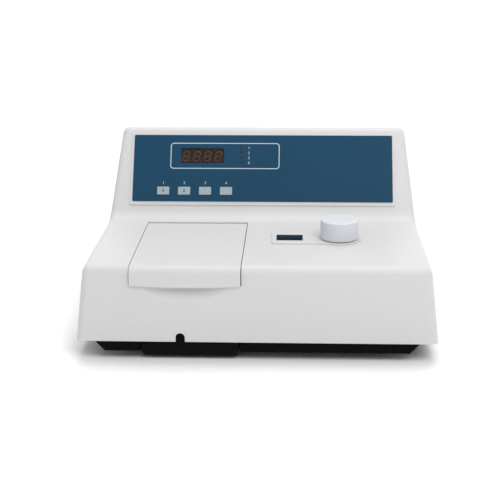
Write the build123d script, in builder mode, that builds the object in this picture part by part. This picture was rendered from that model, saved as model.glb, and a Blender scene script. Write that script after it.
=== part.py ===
from build123d import *
import os
from math import cos, radians, sin, tan

os.makedirs("parts", exist_ok=True)

# A benchtop fluorometer: a moulded cover with a low deck and a raised display head stands
# on a dark base pan. Millimetres. X runs to the right, Y to the rear and Z up, and the
# origin lies on the table, under the middle of the outline.

# Cover
COVER_WIDTH = 376.2
COVER_DEPTH = 318.0
COVER_BOTTOM_Z = 22.0
DECK_Z = 103.2
RIDGE_Z = 200.6
HEAD_SETBACK = 183.0
HEAD_LEAN = 31.15
ROOF_FALL = 12.5
SIDE_DRAFT = 6.8
WALL = 3.0
CORNER_R = 9.0
SIDE_EDGE_R = 8.0
DECK_HEAD_R = 25.0

# Clearances: a shaft that turns in its hole, a face beside a moving face, a seated rim,
# and a line of shadow between two mouldings
RUN = 0.05
FACE_GAP = 0.3
SEAT_GAP = 0.5
SEAM = 0.8

# Sample lid and the finger scoop under its lip
LID_X = -73.0
LID_WIDTH = 114.0
LID_LIP_PROUD = 3.0
LID_LIP_HEIGHT = 19.2
LID_LIP_SAG = 2.0
LID_REAR_GAP = 1.6
LID_KNUCKLE_R = 5.5
LID_RIB_DEPTH = 5.0
LID_RIB_T = 2.5
HINGE_PIN_R = 1.5
HINGE_PIN_LENGTH = 14.0
HINGE_BRACKET_T = 5.0
NOTCH_LEFT = 6.0
NOTCH_WIDTH = 9.7
NOTCH_STRAIGHT = 4.65
SCOOP_WIDTH = 96.0
SCOOP_DEPTH = 4.2
SCOOP_R = 22.0

# Display head
PLATFORM_WIDTH = 310.6
PLATFORM_LOW = 16.4
PLATFORM_HIGH = 106.0
PLATFORM_H = 1.2
OVERLAY_WIDTH = 304.4
OVERLAY_LOW = 20.8
OVERLAY_HIGH = 102.6
OVERLAY_T = 0.8
WINDOW_X = -70.8
WINDOW_UP = 77.0
WINDOW_WIDTH = 50.8
WINDOW_HEIGHT = 18.8
WINDOW_LEDGE = 2.6
WINDOW_T = 1.5
LED_X = -24.8
LED_UP = 77.4
LED_PITCH = 6.2
LED_COUNT = 4
LED_R = 1.5
KEY_UP = 33.5
KEY_FIRST_X = -116.1
KEY_PITCH = 24.6
KEY_COUNT = 4
KEY_WIDTH = 14.4
KEY_HEIGHT = 9.7
KEY_PROUD = 0.9
KEY_TRAVEL = 0.8
KEY_GAP = 0.3
KEY_FLANGE = 1.5
KEY_FLANGE_T = 1.2
KEY_STEM_R = 1.5
SWITCH_SIZE = 6.0
SWITCH_WELL = 2.6
MODULE_WIDTH = 50.3
MODULE_HEIGHT = 19.0
MODULE_T = 8.0
MODULE_GAP = 0.7
BOARD_T = 1.6

# Wavelength drive, and the raised pad round its knob and window on the deck
KNOB_X = 87.3
KNOB_SETBACK = 104.5
KNOB_R = 21.0
KNOB_H = 20.5
KNOB_LIFT = 1.0
KNOB_RIBS = 54
KNOB_WALL = 2.5
PAD_LEFT = 13.0
PAD_DEPTH = 43.0
PAD_R = 24.0
PAD_CORNER_R = 5.0
PAD_H = 1.5
COUNTER_X = 33.1
COUNTER_WIDTH = 28.8
COUNTER_DEPTH = 22.4
PANE_T = 1.6
PANE_SINK = 0.4
PANE_LEDGE = 1.5
SHAFT_R = 3.0
COLLAR_T = 1.2
SHAFT_DROP = 22.2
GEAR_R = 8.0
GEAR_TEETH = 16
GEAR_FACE = 0.34
GEAR_HUB_R = 5.0
DRUM_R = 9.0
DRUM_WIDTH = 5.6
DRUM_PITCH = 6.0
BRACKET_T = 4.0
SINE_ARM = 66.7
ARM_T = 4.0
ARM_TIP_R = 2.0
GUIDE_R = 2.5
GUIDE_OFFSET = 28.0

# Optics
BEAM_Z = 48.0
CUVETTE_SETBACK = 80.0
CUVETTE_SIZE = 12.8
CUVETTE_BELOW_BEAM = 15.0
HOLDER_SIZE = 26.0
HOLDER_ABOVE_BEAM = 30.0
CHAMBER_WIDTH = 104.1
CHAMBER_X = -69.55
CHAMBER_WALL = 3.0
CHAMBER_BOTTOM_Z = 4.0
CHAMBER_FRONT = 3.5
CHAMBER_UPPER_FRONT = 9.0
CHAMBER_STEP_Z = 36.0
CHAMBER_REAR = 150.0
CHAMBER_RIM_Z = 92.0
TUBE_R = 14.0
TUBE_BORE_R = 10.0
TUBE_SPIGOT_R = 11.0
LENS_T = 4.0
LENS_BULGE = 2.0
MONO_LEFT = -6.0
MONO_RIGHT = 158.0
MONO_FRONT = 14.0
MONO_REAR = 160.0
MONO_BOTTOM_Z = 25.0
MONO_WALL = 4.0
MONO_COVER_T = 3.0
GRATING_X = 126.0
GRATING_SIZE = 26.0
GRATING_T = 8.0
GRATING_TURN = 20.0
GRATING_HOLLOW_R = 130.0
EXIT_ANGLE = 62.0
SLIT_T = 0.8

# Lamp and detector
LAMP_SETBACK = 214.0
HOUSE_FRONT = 180.0
HOUSE_REAR = 262.0
HOUSE_WIDTH = 78.0
HOUSE_TOP_Z = 92.0
HOUSE_T = 1.5
DETECTOR_X = 84.0
DETECTOR_WIDTH = 44.0
DETECTOR_DEPTH = 56.0
DETECTOR_TOP_Z = 96.0
TUBE_GLASS_R = 14.0

# Base pan and feet
PAN_BOTTOM_Z = 9.5
PAN_T = 2.0
PAN_SIDE_IN = 29.1
PAN_SIDE_SLOPE = 14.0
PAN_FRONT = 5.0
FLANGE_LIFT = 0.4
FOOT_R = 11.0
FOOT_X = 140.0
FOOT_FRONT = 48.0
FOOT_REAR = 270.0
SCREW_R = 2.0
SCREW_LENGTH = 12.0
HEAD_R = 3.6
HEAD_H = 2.2
BOSS_R = 5.0
BOSS_TOP_Z = 70.0

# Rear panel and what it carries
REAR_PANEL_WIDTH = 292.0
REAR_PANEL_TOP_Z = 118.0
REAR_PANEL_T = 2.0
REAR_PANEL_LAP = 6.0
FAN_SIZE = 60.0
FAN_DEPTH = 15.0
FAN_Z = 58.0
FAN_R = 28.0
FAN_HUB_R = 13.0
FAN_BLADES = 7
INLET_X = 118.0
INLET_Z = 48.0
SWITCH_Z = 84.0

# Places worked out from the sizes above
FRONT_Y = -(COVER_DEPTH - LID_LIP_PROUD) / 2
REAR_Y = FRONT_Y + COVER_DEPTH
HEAD_CORNER_Y = FRONT_Y + HEAD_SETBACK
UNDER_DECK_Z = DECK_Z - WALL
HEAD_BEND = radians(90 - HEAD_LEAN)
FLAT_END_Y = HEAD_CORNER_Y - DECK_HEAD_R * tan(HEAD_BEND / 2)
RIDGE_Y = HEAD_CORNER_Y + (RIDGE_Z - DECK_Z) * tan(radians(HEAD_LEAN))
HEAD_PLANE = Plane(
    origin=(0, HEAD_CORNER_Y, DECK_Z),
    x_dir=(1, 0, 0),
    z_dir=(0, -cos(radians(HEAD_LEAN)), sin(radians(HEAD_LEAN))),
)
LID_REAR_Y = FLAT_END_Y - LID_REAR_GAP
PIVOT_Y = LID_REAR_Y - LID_KNUCKLE_R
PIVOT_Z = DECK_Z - LID_KNUCKLE_R
LIP_Z = DECK_Z - LID_LIP_HEIGHT
LID_LEFT = LID_X - LID_WIDTH / 2
LID_RIGHT = LID_X + LID_WIDTH / 2
KNOB_Y = FRONT_Y + KNOB_SETBACK
KNOB_AXIS = ((KNOB_X, KNOB_Y),)
PAD_Z = DECK_Z + PAD_H
KNOB_Z = PAD_Z + KNOB_LIFT
SHAFT_Z = DECK_Z - SHAFT_DROP
MONO_TOP_Z = SHAFT_Z - GEAR_R - BRACKET_T
CUVETTE_Y = FRONT_Y + CUVETTE_SETBACK
LAMP_Y = FRONT_Y + LAMP_SETBACK
PAN_FLOOR_Z = PAN_BOTTOM_Z + PAN_T
FLANGE_Z = COVER_BOTTOM_Z + FLANGE_LIFT
FLANGE_TOP_Z = FLANGE_Z + PAN_T
BOARD_FRONT = WINDOW_T + MODULE_GAP + MODULE_T - PLATFORM_H
BOARD_BACK = BOARD_FRONT + BOARD_T
KEY_XS = [KEY_FIRST_X + KEY_PITCH * place for place in range(KEY_COUNT)]


def save(piece, name):
    """Labels a finished piece and writes it to its own file."""
    piece.part.label = name
    export_step(piece.part, f"parts/{name}.step")


def oblong(plane, x_span, y_span, corner=0.0):
    """A rectangle between limits along a plane's two directions, its corners rounded."""
    width = x_span[1] - x_span[0]
    height = y_span[1] - y_span[0]
    with BuildSketch(plane) as face:
        with Locations(((x_span[0] + x_span[1]) / 2, (y_span[0] + y_span[1]) / 2)):
            if corner > 0:
                RectangleRounded(width, height, corner)
            else:
                Rectangle(width, height)
    return face.sketch


def slab(x_span, y_span, z_span, corner=0.0, mode=Mode.ADD):
    """Adds or cuts a block between limits, its upright edges rounded."""
    base = oblong(Plane.XY.offset(z_span[0]), x_span, y_span, corner)
    extrude(base, amount=z_span[1] - z_span[0], mode=mode)


def rod(plane, radius, length, at=((0, 0),), mode=Mode.ADD):
    """Adds or cuts round bars that start on a plane at the given points."""
    with BuildSketch(plane) as ends:
        with Locations(*at):
            Circle(radius)
    extrude(ends.sketch, amount=length, mode=mode)


def facing_right(x, y=0.0, z=0.0):
    """The plane across the X direction, its own directions being Y and Z."""
    return Plane(origin=(x, y, z), x_dir=(0, 1, 0), z_dir=(1, 0, 0))


def facing_rear(y, x=0.0, z=0.0):
    """The plane across the Y direction, its own directions being -X and Z."""
    return Plane(origin=(x, y, z), x_dir=(-1, 0, 0), z_dir=(0, 1, 0))


def half_width(z, inset):
    """Half the width of the cover at a height, less an inset square to its drafted side."""
    draft = radians(SIDE_DRAFT)
    return COVER_WIDTH / 2 - (z - COVER_BOTTOM_Z) * tan(draft) - inset / cos(draft)


def side_corners(inset, bottom):
    """The corners of the cover's side view, moved inwards by inset."""
    lean = radians(HEAD_LEAN)
    fall = radians(ROOF_FALL)
    front = FRONT_Y + inset
    rear = REAR_Y - inset
    foot_y = HEAD_CORNER_Y + inset * (1 - sin(lean)) / cos(lean)
    ridge_y = RIDGE_Y + inset * (cos(fall) - sin(lean)) / cos(lean - fall)
    ridge_z = RIDGE_Z - inset * (cos(lean) + sin(fall)) / cos(lean - fall)
    back_z = ridge_z - (rear - ridge_y) * tan(fall)
    return [
        (front, bottom),
        (front, DECK_Z - inset),
        (foot_y, DECK_Z - inset),
        (ridge_y, ridge_z),
        (rear, back_z),
        (rear, bottom),
    ]


def nearest(sketch, point):
    """The corner of a sketch that lies nearest a point of its plane."""
    return sketch.vertices().sort_by(lambda v: abs(v.X - point[0]) + abs(v.Y - point[1]))[0]


def cover_form(inset, bottom):
    """The solid form of the cover: its side view cut to the drafted front view."""
    corners = side_corners(inset, bottom)
    low = half_width(bottom, inset)
    high = half_width(RIDGE_Z, inset)
    with BuildPart() as form:
        with BuildSketch(Plane.YZ) as side:
            with BuildLine():
                Polyline(*corners, close=True)
            make_face()
            fillet([nearest(side, corners[k]) for k in (1, 3, 4)], CORNER_R - inset)
            fillet(nearest(side, corners[2]), DECK_HEAD_R + inset)
        extrude(amount=COVER_WIDTH, both=True)
        with BuildSketch(Plane.XZ):
            with BuildLine():
                Polyline((-low, bottom), (low, bottom), (high, RIDGE_Z), (-high, RIDGE_Z), close=True)
            make_face()
        extrude(amount=COVER_DEPTH, both=True, mode=Mode.INTERSECT)
        sides = form.faces().filter_by(lambda f: abs(f.normal_at().X) > 0.9)
        rims = [e for f in sides for e in f.edges() if e.center().Z > bottom + 0.1]
        fillet(rims, SIDE_EDGE_R - inset)
    return form.part


def scoop_form(grow):
    """A barrel across the front face, which meets that face in a shallow crescent."""
    sunk = SCOOP_R - SCOOP_DEPTH
    end_r = sunk - 1.0 + grow
    half = SCOOP_WIDTH / 2
    origin = (LID_X, FRONT_Y - sunk, LIP_Z - LID_LIP_SAG)
    with BuildPart() as form:
        with BuildSketch(Plane(origin=origin, x_dir=(1, 0, 0), z_dir=(0, 0, 1))):
            with BuildLine():
                ThreePointArc((-half, end_r), (0, SCOOP_R + grow), (half, end_r))
                Polyline((half, end_r), (half, 0), (-half, 0), (-half, end_r))
            make_face()
        revolve(axis=Axis(origin, (1, 0, 0)))
    return form.part


def lip_face(plane, gap):
    """The strip of front view between the lip's arched edge, let down by a gap, and the deck."""
    half = LID_WIDTH / 2 + gap
    edge = LIP_Z - gap
    with BuildSketch(plane) as face:
        with BuildLine():
            ThreePointArc((-half, edge), (0, edge - LID_LIP_SAG), (half, edge))
            Polyline((half, edge), (half, DECK_Z), (-half, DECK_Z), (-half, edge))
        make_face()
    return face.sketch


def pad_face(plane):
    """The keyhole outline of the pad: a bar that ends in a disc round the knob."""
    with BuildSketch(plane) as face:
        with Locations(((PAD_LEFT + KNOB_X) / 2, KNOB_Y)):
            Rectangle(KNOB_X - PAD_LEFT, PAD_DEPTH)
        fillet(face.vertices().group_by(Axis.X)[0], PAD_CORNER_R)
        with Locations((KNOB_X, KNOB_Y)):
            Circle(PAD_R)
    return face.sketch


def head_box(x_span, up_span, out_span, corner=0.0, mode=Mode.ADD):
    """A block on the leaning head, between limits across, up and out of its face."""
    base = oblong(HEAD_PLANE.offset(out_span[0]), x_span, up_span, corner)
    extrude(base, amount=out_span[1] - out_span[0], mode=mode)


def around(centre, size):
    """The limits of a length that is centred on a place."""
    return (centre - size / 2, centre + size / 2)


# The fixing points under the pan: cover bosses, chamber feet and monochromator legs
PAN_TOP_HALF = COVER_WIDTH / 2 - PAN_SIDE_IN + PAN_SIDE_SLOPE
FLANGE_HALF = half_width(FLANGE_TOP_Z, WALL) - SEAT_GAP
BOSS_X = (PAN_TOP_HALF + FLANGE_HALF) / 2
BOSS_POINTS = [
    (side * BOSS_X, FRONT_Y + setback) for side in (-1, 1) for setback in (FOOT_FRONT, FOOT_REAR)
]
CHAMBER_LEFT = CHAMBER_X - CHAMBER_WIDTH / 2
CHAMBER_RIGHT = CHAMBER_X + CHAMBER_WIDTH / 2
CHAMBER_BACK_Y = FRONT_Y + CHAMBER_REAR
CHAMBER_LUG = 12.0
CHAMBER_POINTS = [
    (x, FRONT_Y + setback)
    for x in (CHAMBER_LEFT - CHAMBER_LUG / 2, CHAMBER_RIGHT + CHAMBER_LUG / 2)
    for setback in (30.0, CHAMBER_REAR - 20.0)
]
LEG_INSET = 12.0
LEG_POINTS = [
    (x, y)
    for x in (MONO_LEFT + LEG_INSET + CHAMBER_LUG, MONO_RIGHT - LEG_INSET - CHAMBER_LUG)
    for y in (FRONT_Y + MONO_FRONT + LEG_INSET, FRONT_Y + MONO_REAR - LEG_INSET)
]
FOOT_POINTS = [
    (side * FOOT_X, FRONT_Y + setback) for side in (-1, 1) for setback in (FOOT_FRONT, FOOT_REAR)
]

# Screw bosses that stand on the pan's flange, each tied to the cover's wall by a gusset
with BuildPart() as bosses:
    rod(Plane.XY.offset(FLANGE_TOP_Z), BOSS_R, BOSS_TOP_Z - FLANGE_TOP_Z, at=BOSS_POINTS)
    for boss_x, boss_y in BOSS_POINTS:
        side = 1 if boss_x > 0 else -1
        wall_x = side * (half_width(FLANGE_TOP_Z, WALL) + WALL / 2)
        slab(sorted((boss_x, wall_x)), around(boss_y, WALL), (FLANGE_TOP_Z, BOSS_TOP_Z))
    rod(
        Plane.XY.offset(FLANGE_TOP_Z),
        SCREW_R,
        SCREW_LENGTH,
        at=BOSS_POINTS,
        mode=Mode.SUBTRACT,
    )
# The platform for the overlay and the pad round the knob, each with a softened edge
with BuildPart() as platform:
    head_box(
        around(0, PLATFORM_WIDTH), (PLATFORM_LOW, PLATFORM_HIGH), (0, PLATFORM_H), corner=2.0
    )
    fillet(platform.faces().sort_by(Axis((0, 0, 0), HEAD_PLANE.z_dir))[-1].edges(), 0.6)
with BuildPart() as pad:
    extrude(pad_face(Plane.XY.offset(DECK_Z)), amount=PAD_H)
    fillet(pad.faces().sort_by(Axis.Z)[-1].edges(), 0.7)

outer_form = cover_form(0.0, COVER_BOTTOM_Z)
inner_form = cover_form(WALL, COVER_BOTTOM_Z - 1.0)
scoop_wall = scoop_form(WALL) & inner_form
boss_group = bosses.part & outer_form

# The top cover: a thin moulding, with a platform for the overlay and a pad for the knob
with BuildPart() as top_cover:
    add(outer_form)
    add(inner_form, mode=Mode.SUBTRACT)
    add(platform.part)
    add(pad.part)
    # The scoop keeps the cover's thickness: its wall bulges inwards behind it
    add(scoop_wall)
    add(scoop_form(0.0), mode=Mode.SUBTRACT)
    # The lid's opening runs over the front edge and down to just under the arched lip
    slab(
        (LID_LEFT - SEAM, LID_RIGHT + SEAM),
        (FRONT_Y - 1, FLAT_END_Y),
        (LIP_Z - SEAM, DECK_Z + 1),
        mode=Mode.SUBTRACT,
    )
    lip_gap = lip_face(facing_rear(FRONT_Y - 1, x=LID_X), SEAM)
    extrude(lip_gap, amount=SCOOP_R, mode=Mode.SUBTRACT)
    # Window, lamps and keys in the head
    head_box(
        around(WINDOW_X, WINDOW_WIDTH + 2 * WINDOW_LEDGE + 0.4),
        around(WINDOW_UP, WINDOW_HEIGHT + 2 * WINDOW_LEDGE + 0.4),
        (PLATFORM_H - WINDOW_T, PLATFORM_H + 1),
        mode=Mode.SUBTRACT,
    )
    head_box(
        around(WINDOW_X, MODULE_WIDTH + 1.0),
        around(WINDOW_UP, MODULE_HEIGHT + 0.6),
        (-WALL - 1, PLATFORM_H),
        mode=Mode.SUBTRACT,
    )
    with BuildSketch(HEAD_PLANE.offset(-WALL - 1)):
        with Locations((LED_X, LED_UP)):
            with GridLocations(0, LED_PITCH, 1, LED_COUNT):
                Circle(LED_R + KEY_GAP)
    extrude(amount=WALL + PLATFORM_H + 2, mode=Mode.SUBTRACT)
    for key_x in KEY_XS:
        head_box(
            around(key_x, KEY_WIDTH + 2 * KEY_GAP),
            around(KEY_UP, KEY_HEIGHT + 2 * KEY_GAP),
            (-WALL - 1, PLATFORM_H + 1),
            corner=1.3,
            mode=Mode.SUBTRACT,
        )
    # The counter's window, stepped to hold its pane, and the hole for the knob's shaft
    slab(
        around(COUNTER_X, COUNTER_WIDTH),
        around(KNOB_Y, COUNTER_DEPTH),
        (PAD_Z - PANE_SINK - PANE_T, PAD_Z + 1),
        corner=0.8,
        mode=Mode.SUBTRACT,
    )
    slab(
        around(COUNTER_X, COUNTER_WIDTH - 2 * PANE_LEDGE),
        around(KNOB_Y, COUNTER_DEPTH - 2 * PANE_LEDGE),
        (UNDER_DECK_Z - 1, PAD_Z),
        mode=Mode.SUBTRACT,
    )
    rod(
        Plane.XY.offset(UNDER_DECK_Z - 1),
        2 * SHAFT_R,
        WALL + PAD_H + 2,
        at=KNOB_AXIS,
        mode=Mode.SUBTRACT,
    )
    # A small arched notch in the front edge, under the lid
    with BuildSketch(facing_rear(FRONT_Y - 1, x=LID_X - NOTCH_LEFT, z=COVER_BOTTOM_Z)):
        SlotCenterToCenter(2 * NOTCH_STRAIGHT, NOTCH_WIDTH, rotation=90)
    extrude(amount=WALL + 2, mode=Mode.SUBTRACT)
    # The opening that the rear panel closes
    slab(
        around(0, REAR_PANEL_WIDTH - 2 * REAR_PANEL_LAP),
        (REAR_Y - WALL - 1, REAR_Y + 1),
        (FLANGE_TOP_Z + REAR_PANEL_LAP, REAR_PANEL_TOP_Z - REAR_PANEL_LAP),
        mode=Mode.SUBTRACT,
    )
    add(boss_group)
save(top_cover, "top_cover")

# The base pan: a pressed tray with sloping sides and a flange inside the cover's edge
PAN_BACK_Y = REAR_Y - WALL - SEAT_GAP
TRAY_HOLE_X = (CHAMBER_LEFT - SEAT_GAP, CHAMBER_RIGHT + SEAT_GAP)


def tray_form(inset, low_z, high_z):
    """The tray's sloping form between two heights, moved inwards by inset."""
    half_low = PAN_TOP_HALF - PAN_SIDE_SLOPE - inset
    half_high = PAN_TOP_HALF - inset
    y_span = (FRONT_Y + PAN_FRONT + inset, PAN_BACK_Y - inset)
    with BuildPart() as form:
        with BuildSketch(Plane.XZ.offset(-y_span[1])):
            with BuildLine():
                Polyline(
                    (-half_low, low_z), (half_low, low_z), (half_high, high_z),
                    (-half_high, high_z), close=True,
                )
            make_face()
        extrude(amount=y_span[1] - y_span[0])
    return form.part


outer_tray = tray_form(0.0, PAN_BOTTOM_Z, FLANGE_TOP_Z)
inner_tray = tray_form(PAN_T, PAN_FLOOR_Z, FLANGE_TOP_Z)

with BuildPart() as base_pan:
    add(outer_tray)
    slab(
        (-FLANGE_HALF, FLANGE_HALF),
        (FRONT_Y + WALL + SEAT_GAP, PAN_BACK_Y),
        (FLANGE_Z, FLANGE_TOP_Z),
        corner=SIDE_EDGE_R,
    )
    add(inner_tray, mode=Mode.SUBTRACT)
    rod(Plane.XY.offset(PAN_BOTTOM_Z), BOSS_R, SCREW_LENGTH - 2.0, at=FOOT_POINTS)
    slab(
        TRAY_HOLE_X,
        (FRONT_Y, CHAMBER_BACK_Y + SEAT_GAP),
        (PAN_BOTTOM_Z - 1, FLANGE_TOP_Z + 1),
        mode=Mode.SUBTRACT,
    )
    rod(
        Plane.XY.offset(PAN_BOTTOM_Z - 1),
        SCREW_R,
        FLANGE_TOP_Z - PAN_BOTTOM_Z + 2,
        at=BOSS_POINTS + CHAMBER_POINTS + LEG_POINTS + FOOT_POINTS,
        mode=Mode.SUBTRACT,
    )
save(base_pan, "base_pan")

# Rubber feet: tapered discs with a well for the screw's head
with BuildPart() as feet:
    for foot_x, foot_y in FOOT_POINTS:
        with BuildSketch(Plane(origin=(foot_x, foot_y, 0))):
            Circle(FOOT_R - 1.0)
        with BuildSketch(Plane(origin=(foot_x, foot_y, PAN_BOTTOM_Z))):
            Circle(FOOT_R)
        loft()
    rod(Plane.XY, HEAD_R + SEAT_GAP, PAN_BOTTOM_Z / 2, at=FOOT_POINTS, mode=Mode.SUBTRACT)
    rod(Plane.XY, SCREW_R, PAN_BOTTOM_Z, at=FOOT_POINTS, mode=Mode.SUBTRACT)
save(feet, "feet")

# Sixteen like screws, all driven from below: cover, chamber, monochromator and feet
with BuildPart() as one_screw:
    rod(Plane.XY, HEAD_R, HEAD_H)
    fillet(one_screw.edges().sort_by(Axis.Z)[0], HEAD_H / 3)
    rod(Plane.XY.offset(HEAD_H), SCREW_R, SCREW_LENGTH)
    with BuildSketch(Plane.XY):
        Rectangle(HEAD_R, HEAD_R / 4)
        Rectangle(HEAD_R / 4, HEAD_R)
    extrude(amount=HEAD_H / 2, mode=Mode.SUBTRACT)
with BuildPart() as pan_head_screws:
    for points, head_z in (
        (BOSS_POINTS, FLANGE_Z - HEAD_H),
        (CHAMBER_POINTS + LEG_POINTS, PAN_BOTTOM_Z - HEAD_H),
        (FOOT_POINTS, PAN_BOTTOM_Z / 2 - HEAD_H),
    ):
        with Locations(*[(x, y, head_z) for x, y in points]):
            add(one_screw.part)
save(pan_head_screws, "pan_head_screws")

# The sample lid: a plate with a rolled rear edge and a lip that turns down over the front
RIB_Z = UNDER_DECK_Z - LID_RIB_DEPTH
RIB_SPAN_X = (LID_LEFT + 1.3, LID_RIGHT - 1.3)
RIB_SPAN_Y = (FRONT_Y + CHAMBER_UPPER_FRONT, CHAMBER_BACK_Y + LID_RIB_T)


def lid_side(inset, low_z):
    """The lid's side view without its knuckle, moved inwards by inset."""
    front = FRONT_Y - LID_LIP_PROUD + inset
    top = DECK_Z - inset
    with BuildSketch(Plane.YZ) as face:
        with BuildLine():
            Polyline((front, low_z), (front, top), (PIVOT_Y, top), (PIVOT_Y, low_z), close=True)
        make_face()
        fillet(nearest(face, (front, top)), CORNER_R - inset)
    return face.sketch


with BuildPart() as lid_shell:
    extrude(lid_side(0.0, LIP_Z - LID_LIP_SAG - 1.0), amount=COVER_WIDTH, both=True)
    extrude(
        lid_side(WALL, LIP_Z - LID_LIP_SAG - 2.0),
        amount=COVER_WIDTH,
        both=True,
        mode=Mode.SUBTRACT,
    )
with BuildPart() as sample_lid:
    extrude(lip_face(facing_rear(FRONT_Y - LID_LIP_PROUD - 1, x=LID_X), 0.0), amount=COVER_DEPTH)
    add(lid_shell.part, mode=Mode.INTERSECT)
    rod(facing_right(LID_LEFT, PIVOT_Y, PIVOT_Z), LID_KNUCKLE_R, LID_WIDTH)
    slab(RIB_SPAN_X, RIB_SPAN_Y, (RIB_Z, UNDER_DECK_Z))
    slab(
        (RIB_SPAN_X[0] + LID_RIB_T, RIB_SPAN_X[1] - LID_RIB_T),
        (RIB_SPAN_Y[0] + LID_RIB_T, RIB_SPAN_Y[1] - LID_RIB_T),
        (RIB_Z, UNDER_DECK_Z),
        mode=Mode.SUBTRACT,
    )
    pin_sink = HINGE_PIN_LENGTH - SEAM - HINGE_BRACKET_T - SEAT_GAP
    for end_x, length in ((LID_LEFT, pin_sink), (LID_RIGHT, -pin_sink)):
        rod(facing_right(end_x, PIVOT_Y, PIVOT_Z), HINGE_PIN_R, length, mode=Mode.SUBTRACT)
save(sample_lid, "sample_lid")

# Steel hinge pins, pressed into the ends of the knuckle
with BuildPart() as lid_hinge_pins:
    for start_x in (LID_LEFT + pin_sink - HINGE_PIN_LENGTH, LID_RIGHT - pin_sink):
        rod(facing_right(start_x, PIVOT_Y, PIVOT_Z), HINGE_PIN_R, HINGE_PIN_LENGTH)
save(lid_hinge_pins, "lid_hinge_pins")

# Hinge brackets: rounded cheeks bonded under the deck, one beyond each end of the knuckle
with BuildPart() as lid_hinge_brackets:
    cheek_r = LID_KNUCKLE_R - 1.0
    for start_x in (LID_LEFT - SEAM - SEAT_GAP - HINGE_BRACKET_T, LID_RIGHT + SEAM + SEAT_GAP):
        with BuildSketch(facing_right(start_x, PIVOT_Y, PIVOT_Z)):
            Circle(cheek_r)
            with Locations((0, cheek_r)):
                Rectangle(2 * cheek_r, 2 * cheek_r)
            with Locations((0, UNDER_DECK_Z - PIVOT_Z - 2 * cheek_r)):
                Rectangle(2 * cheek_r, 4 * cheek_r, mode=Mode.INTERSECT)
            Circle(HINGE_PIN_R + RUN, mode=Mode.SUBTRACT)
        extrude(amount=HINGE_BRACKET_T)
save(lid_hinge_brackets, "lid_hinge_brackets")

# The sample chamber: a black casting, wide at its rim, that hangs through the pan
CHAMBER_SPAN_X = (CHAMBER_LEFT, CHAMBER_RIGHT)
CAVITY_X = (CHAMBER_LEFT + CHAMBER_WALL, CHAMBER_RIGHT - CHAMBER_WALL)
CAVITY_Y = (FRONT_Y + CHAMBER_UPPER_FRONT + CHAMBER_WALL, CHAMBER_BACK_Y - CHAMBER_WALL)
CHAMBER_FLOOR_Z = CHAMBER_BOTTOM_Z + CHAMBER_WALL
RIM_X = (LID_LEFT - SEAM - CHAMBER_WALL, LID_RIGHT + SEAM + CHAMBER_WALL)
with BuildPart() as sample_chamber:
    slab(
        CHAMBER_SPAN_X,
        (FRONT_Y + CHAMBER_FRONT, CHAMBER_BACK_Y),
        (CHAMBER_BOTTOM_Z, CHAMBER_STEP_Z),
        corner=4.0,
    )
    base_rim = sample_chamber.faces().sort_by(Axis.Z)[0].edges()
    chamfer(base_rim, 7.0, 3.8)
    slab(
        CHAMBER_SPAN_X,
        (FRONT_Y + CHAMBER_UPPER_FRONT, CHAMBER_BACK_Y),
        (CHAMBER_STEP_Z - 1, CHAMBER_RIM_Z),
    )
    slab(
        RIM_X,
        (FRONT_Y + CHAMBER_UPPER_FRONT - 1.0, CHAMBER_BACK_Y + 2 * LID_RIB_T),
        (CHAMBER_RIM_Z - CHAMBER_WALL, CHAMBER_RIM_Z),
    )
    for lug_x, lug_y in CHAMBER_POINTS:
        slab(
            sorted((lug_x + CHAMBER_LUG / 2 * (1 if lug_x < CHAMBER_X else -1), lug_x)),
            around(lug_y, CHAMBER_LUG - 2.0),
            (PAN_FLOOR_Z, PAN_FLOOR_Z + SCREW_LENGTH),
        )
    rod(Plane.XY.offset(PAN_FLOOR_Z), CHAMBER_LUG / 2 - 1.0, SCREW_LENGTH, at=CHAMBER_POINTS)
    screw_base = Plane.XY.offset(PAN_FLOOR_Z)
    rod(screw_base, SCREW_R, SCREW_LENGTH - PAN_T, at=CHAMBER_POINTS, mode=Mode.SUBTRACT)
    slab(CAVITY_X, CAVITY_Y, (CHAMBER_FLOOR_Z, CHAMBER_RIM_Z + 1), corner=3.0, mode=Mode.SUBTRACT)
    # Ports for the lamp's light behind and for the fluorescence on the right
    lamp_port = facing_rear(CHAMBER_BACK_Y - 2 * CHAMBER_WALL, LID_X, BEAM_Z)
    emission_port = facing_right(CHAMBER_RIGHT - 2 * CHAMBER_WALL, CUVETTE_Y, BEAM_Z)
    rod(lamp_port, TUBE_SPIGOT_R, 3 * CHAMBER_WALL, mode=Mode.SUBTRACT)
    rod(emission_port, TUBE_SPIGOT_R, 3 * CHAMBER_WALL, mode=Mode.SUBTRACT)
save(sample_chamber, "sample_chamber")

# A foam strip on the chamber's rim keeps room light out under the lid's rib
SEAL_W = LID_RIB_T + 1.1
with BuildPart() as lid_seal:
    seal_x = (RIB_SPAN_X[0] + (LID_RIB_T - SEAL_W) / 2, RIB_SPAN_X[1] - (LID_RIB_T - SEAL_W) / 2)
    seal_y = (RIB_SPAN_Y[0] + (LID_RIB_T - SEAL_W) / 2, RIB_SPAN_Y[1] - (LID_RIB_T - SEAL_W) / 2)
    slab(seal_x, seal_y, (CHAMBER_RIM_Z, RIB_Z - FACE_GAP))
    slab(
        (seal_x[0] + SEAL_W, seal_x[1] - SEAL_W),
        (seal_y[0] + SEAL_W, seal_y[1] - SEAL_W),
        (CHAMBER_RIM_Z, RIB_Z),
        mode=Mode.SUBTRACT,
    )
save(lid_seal, "lid_seal")

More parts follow.
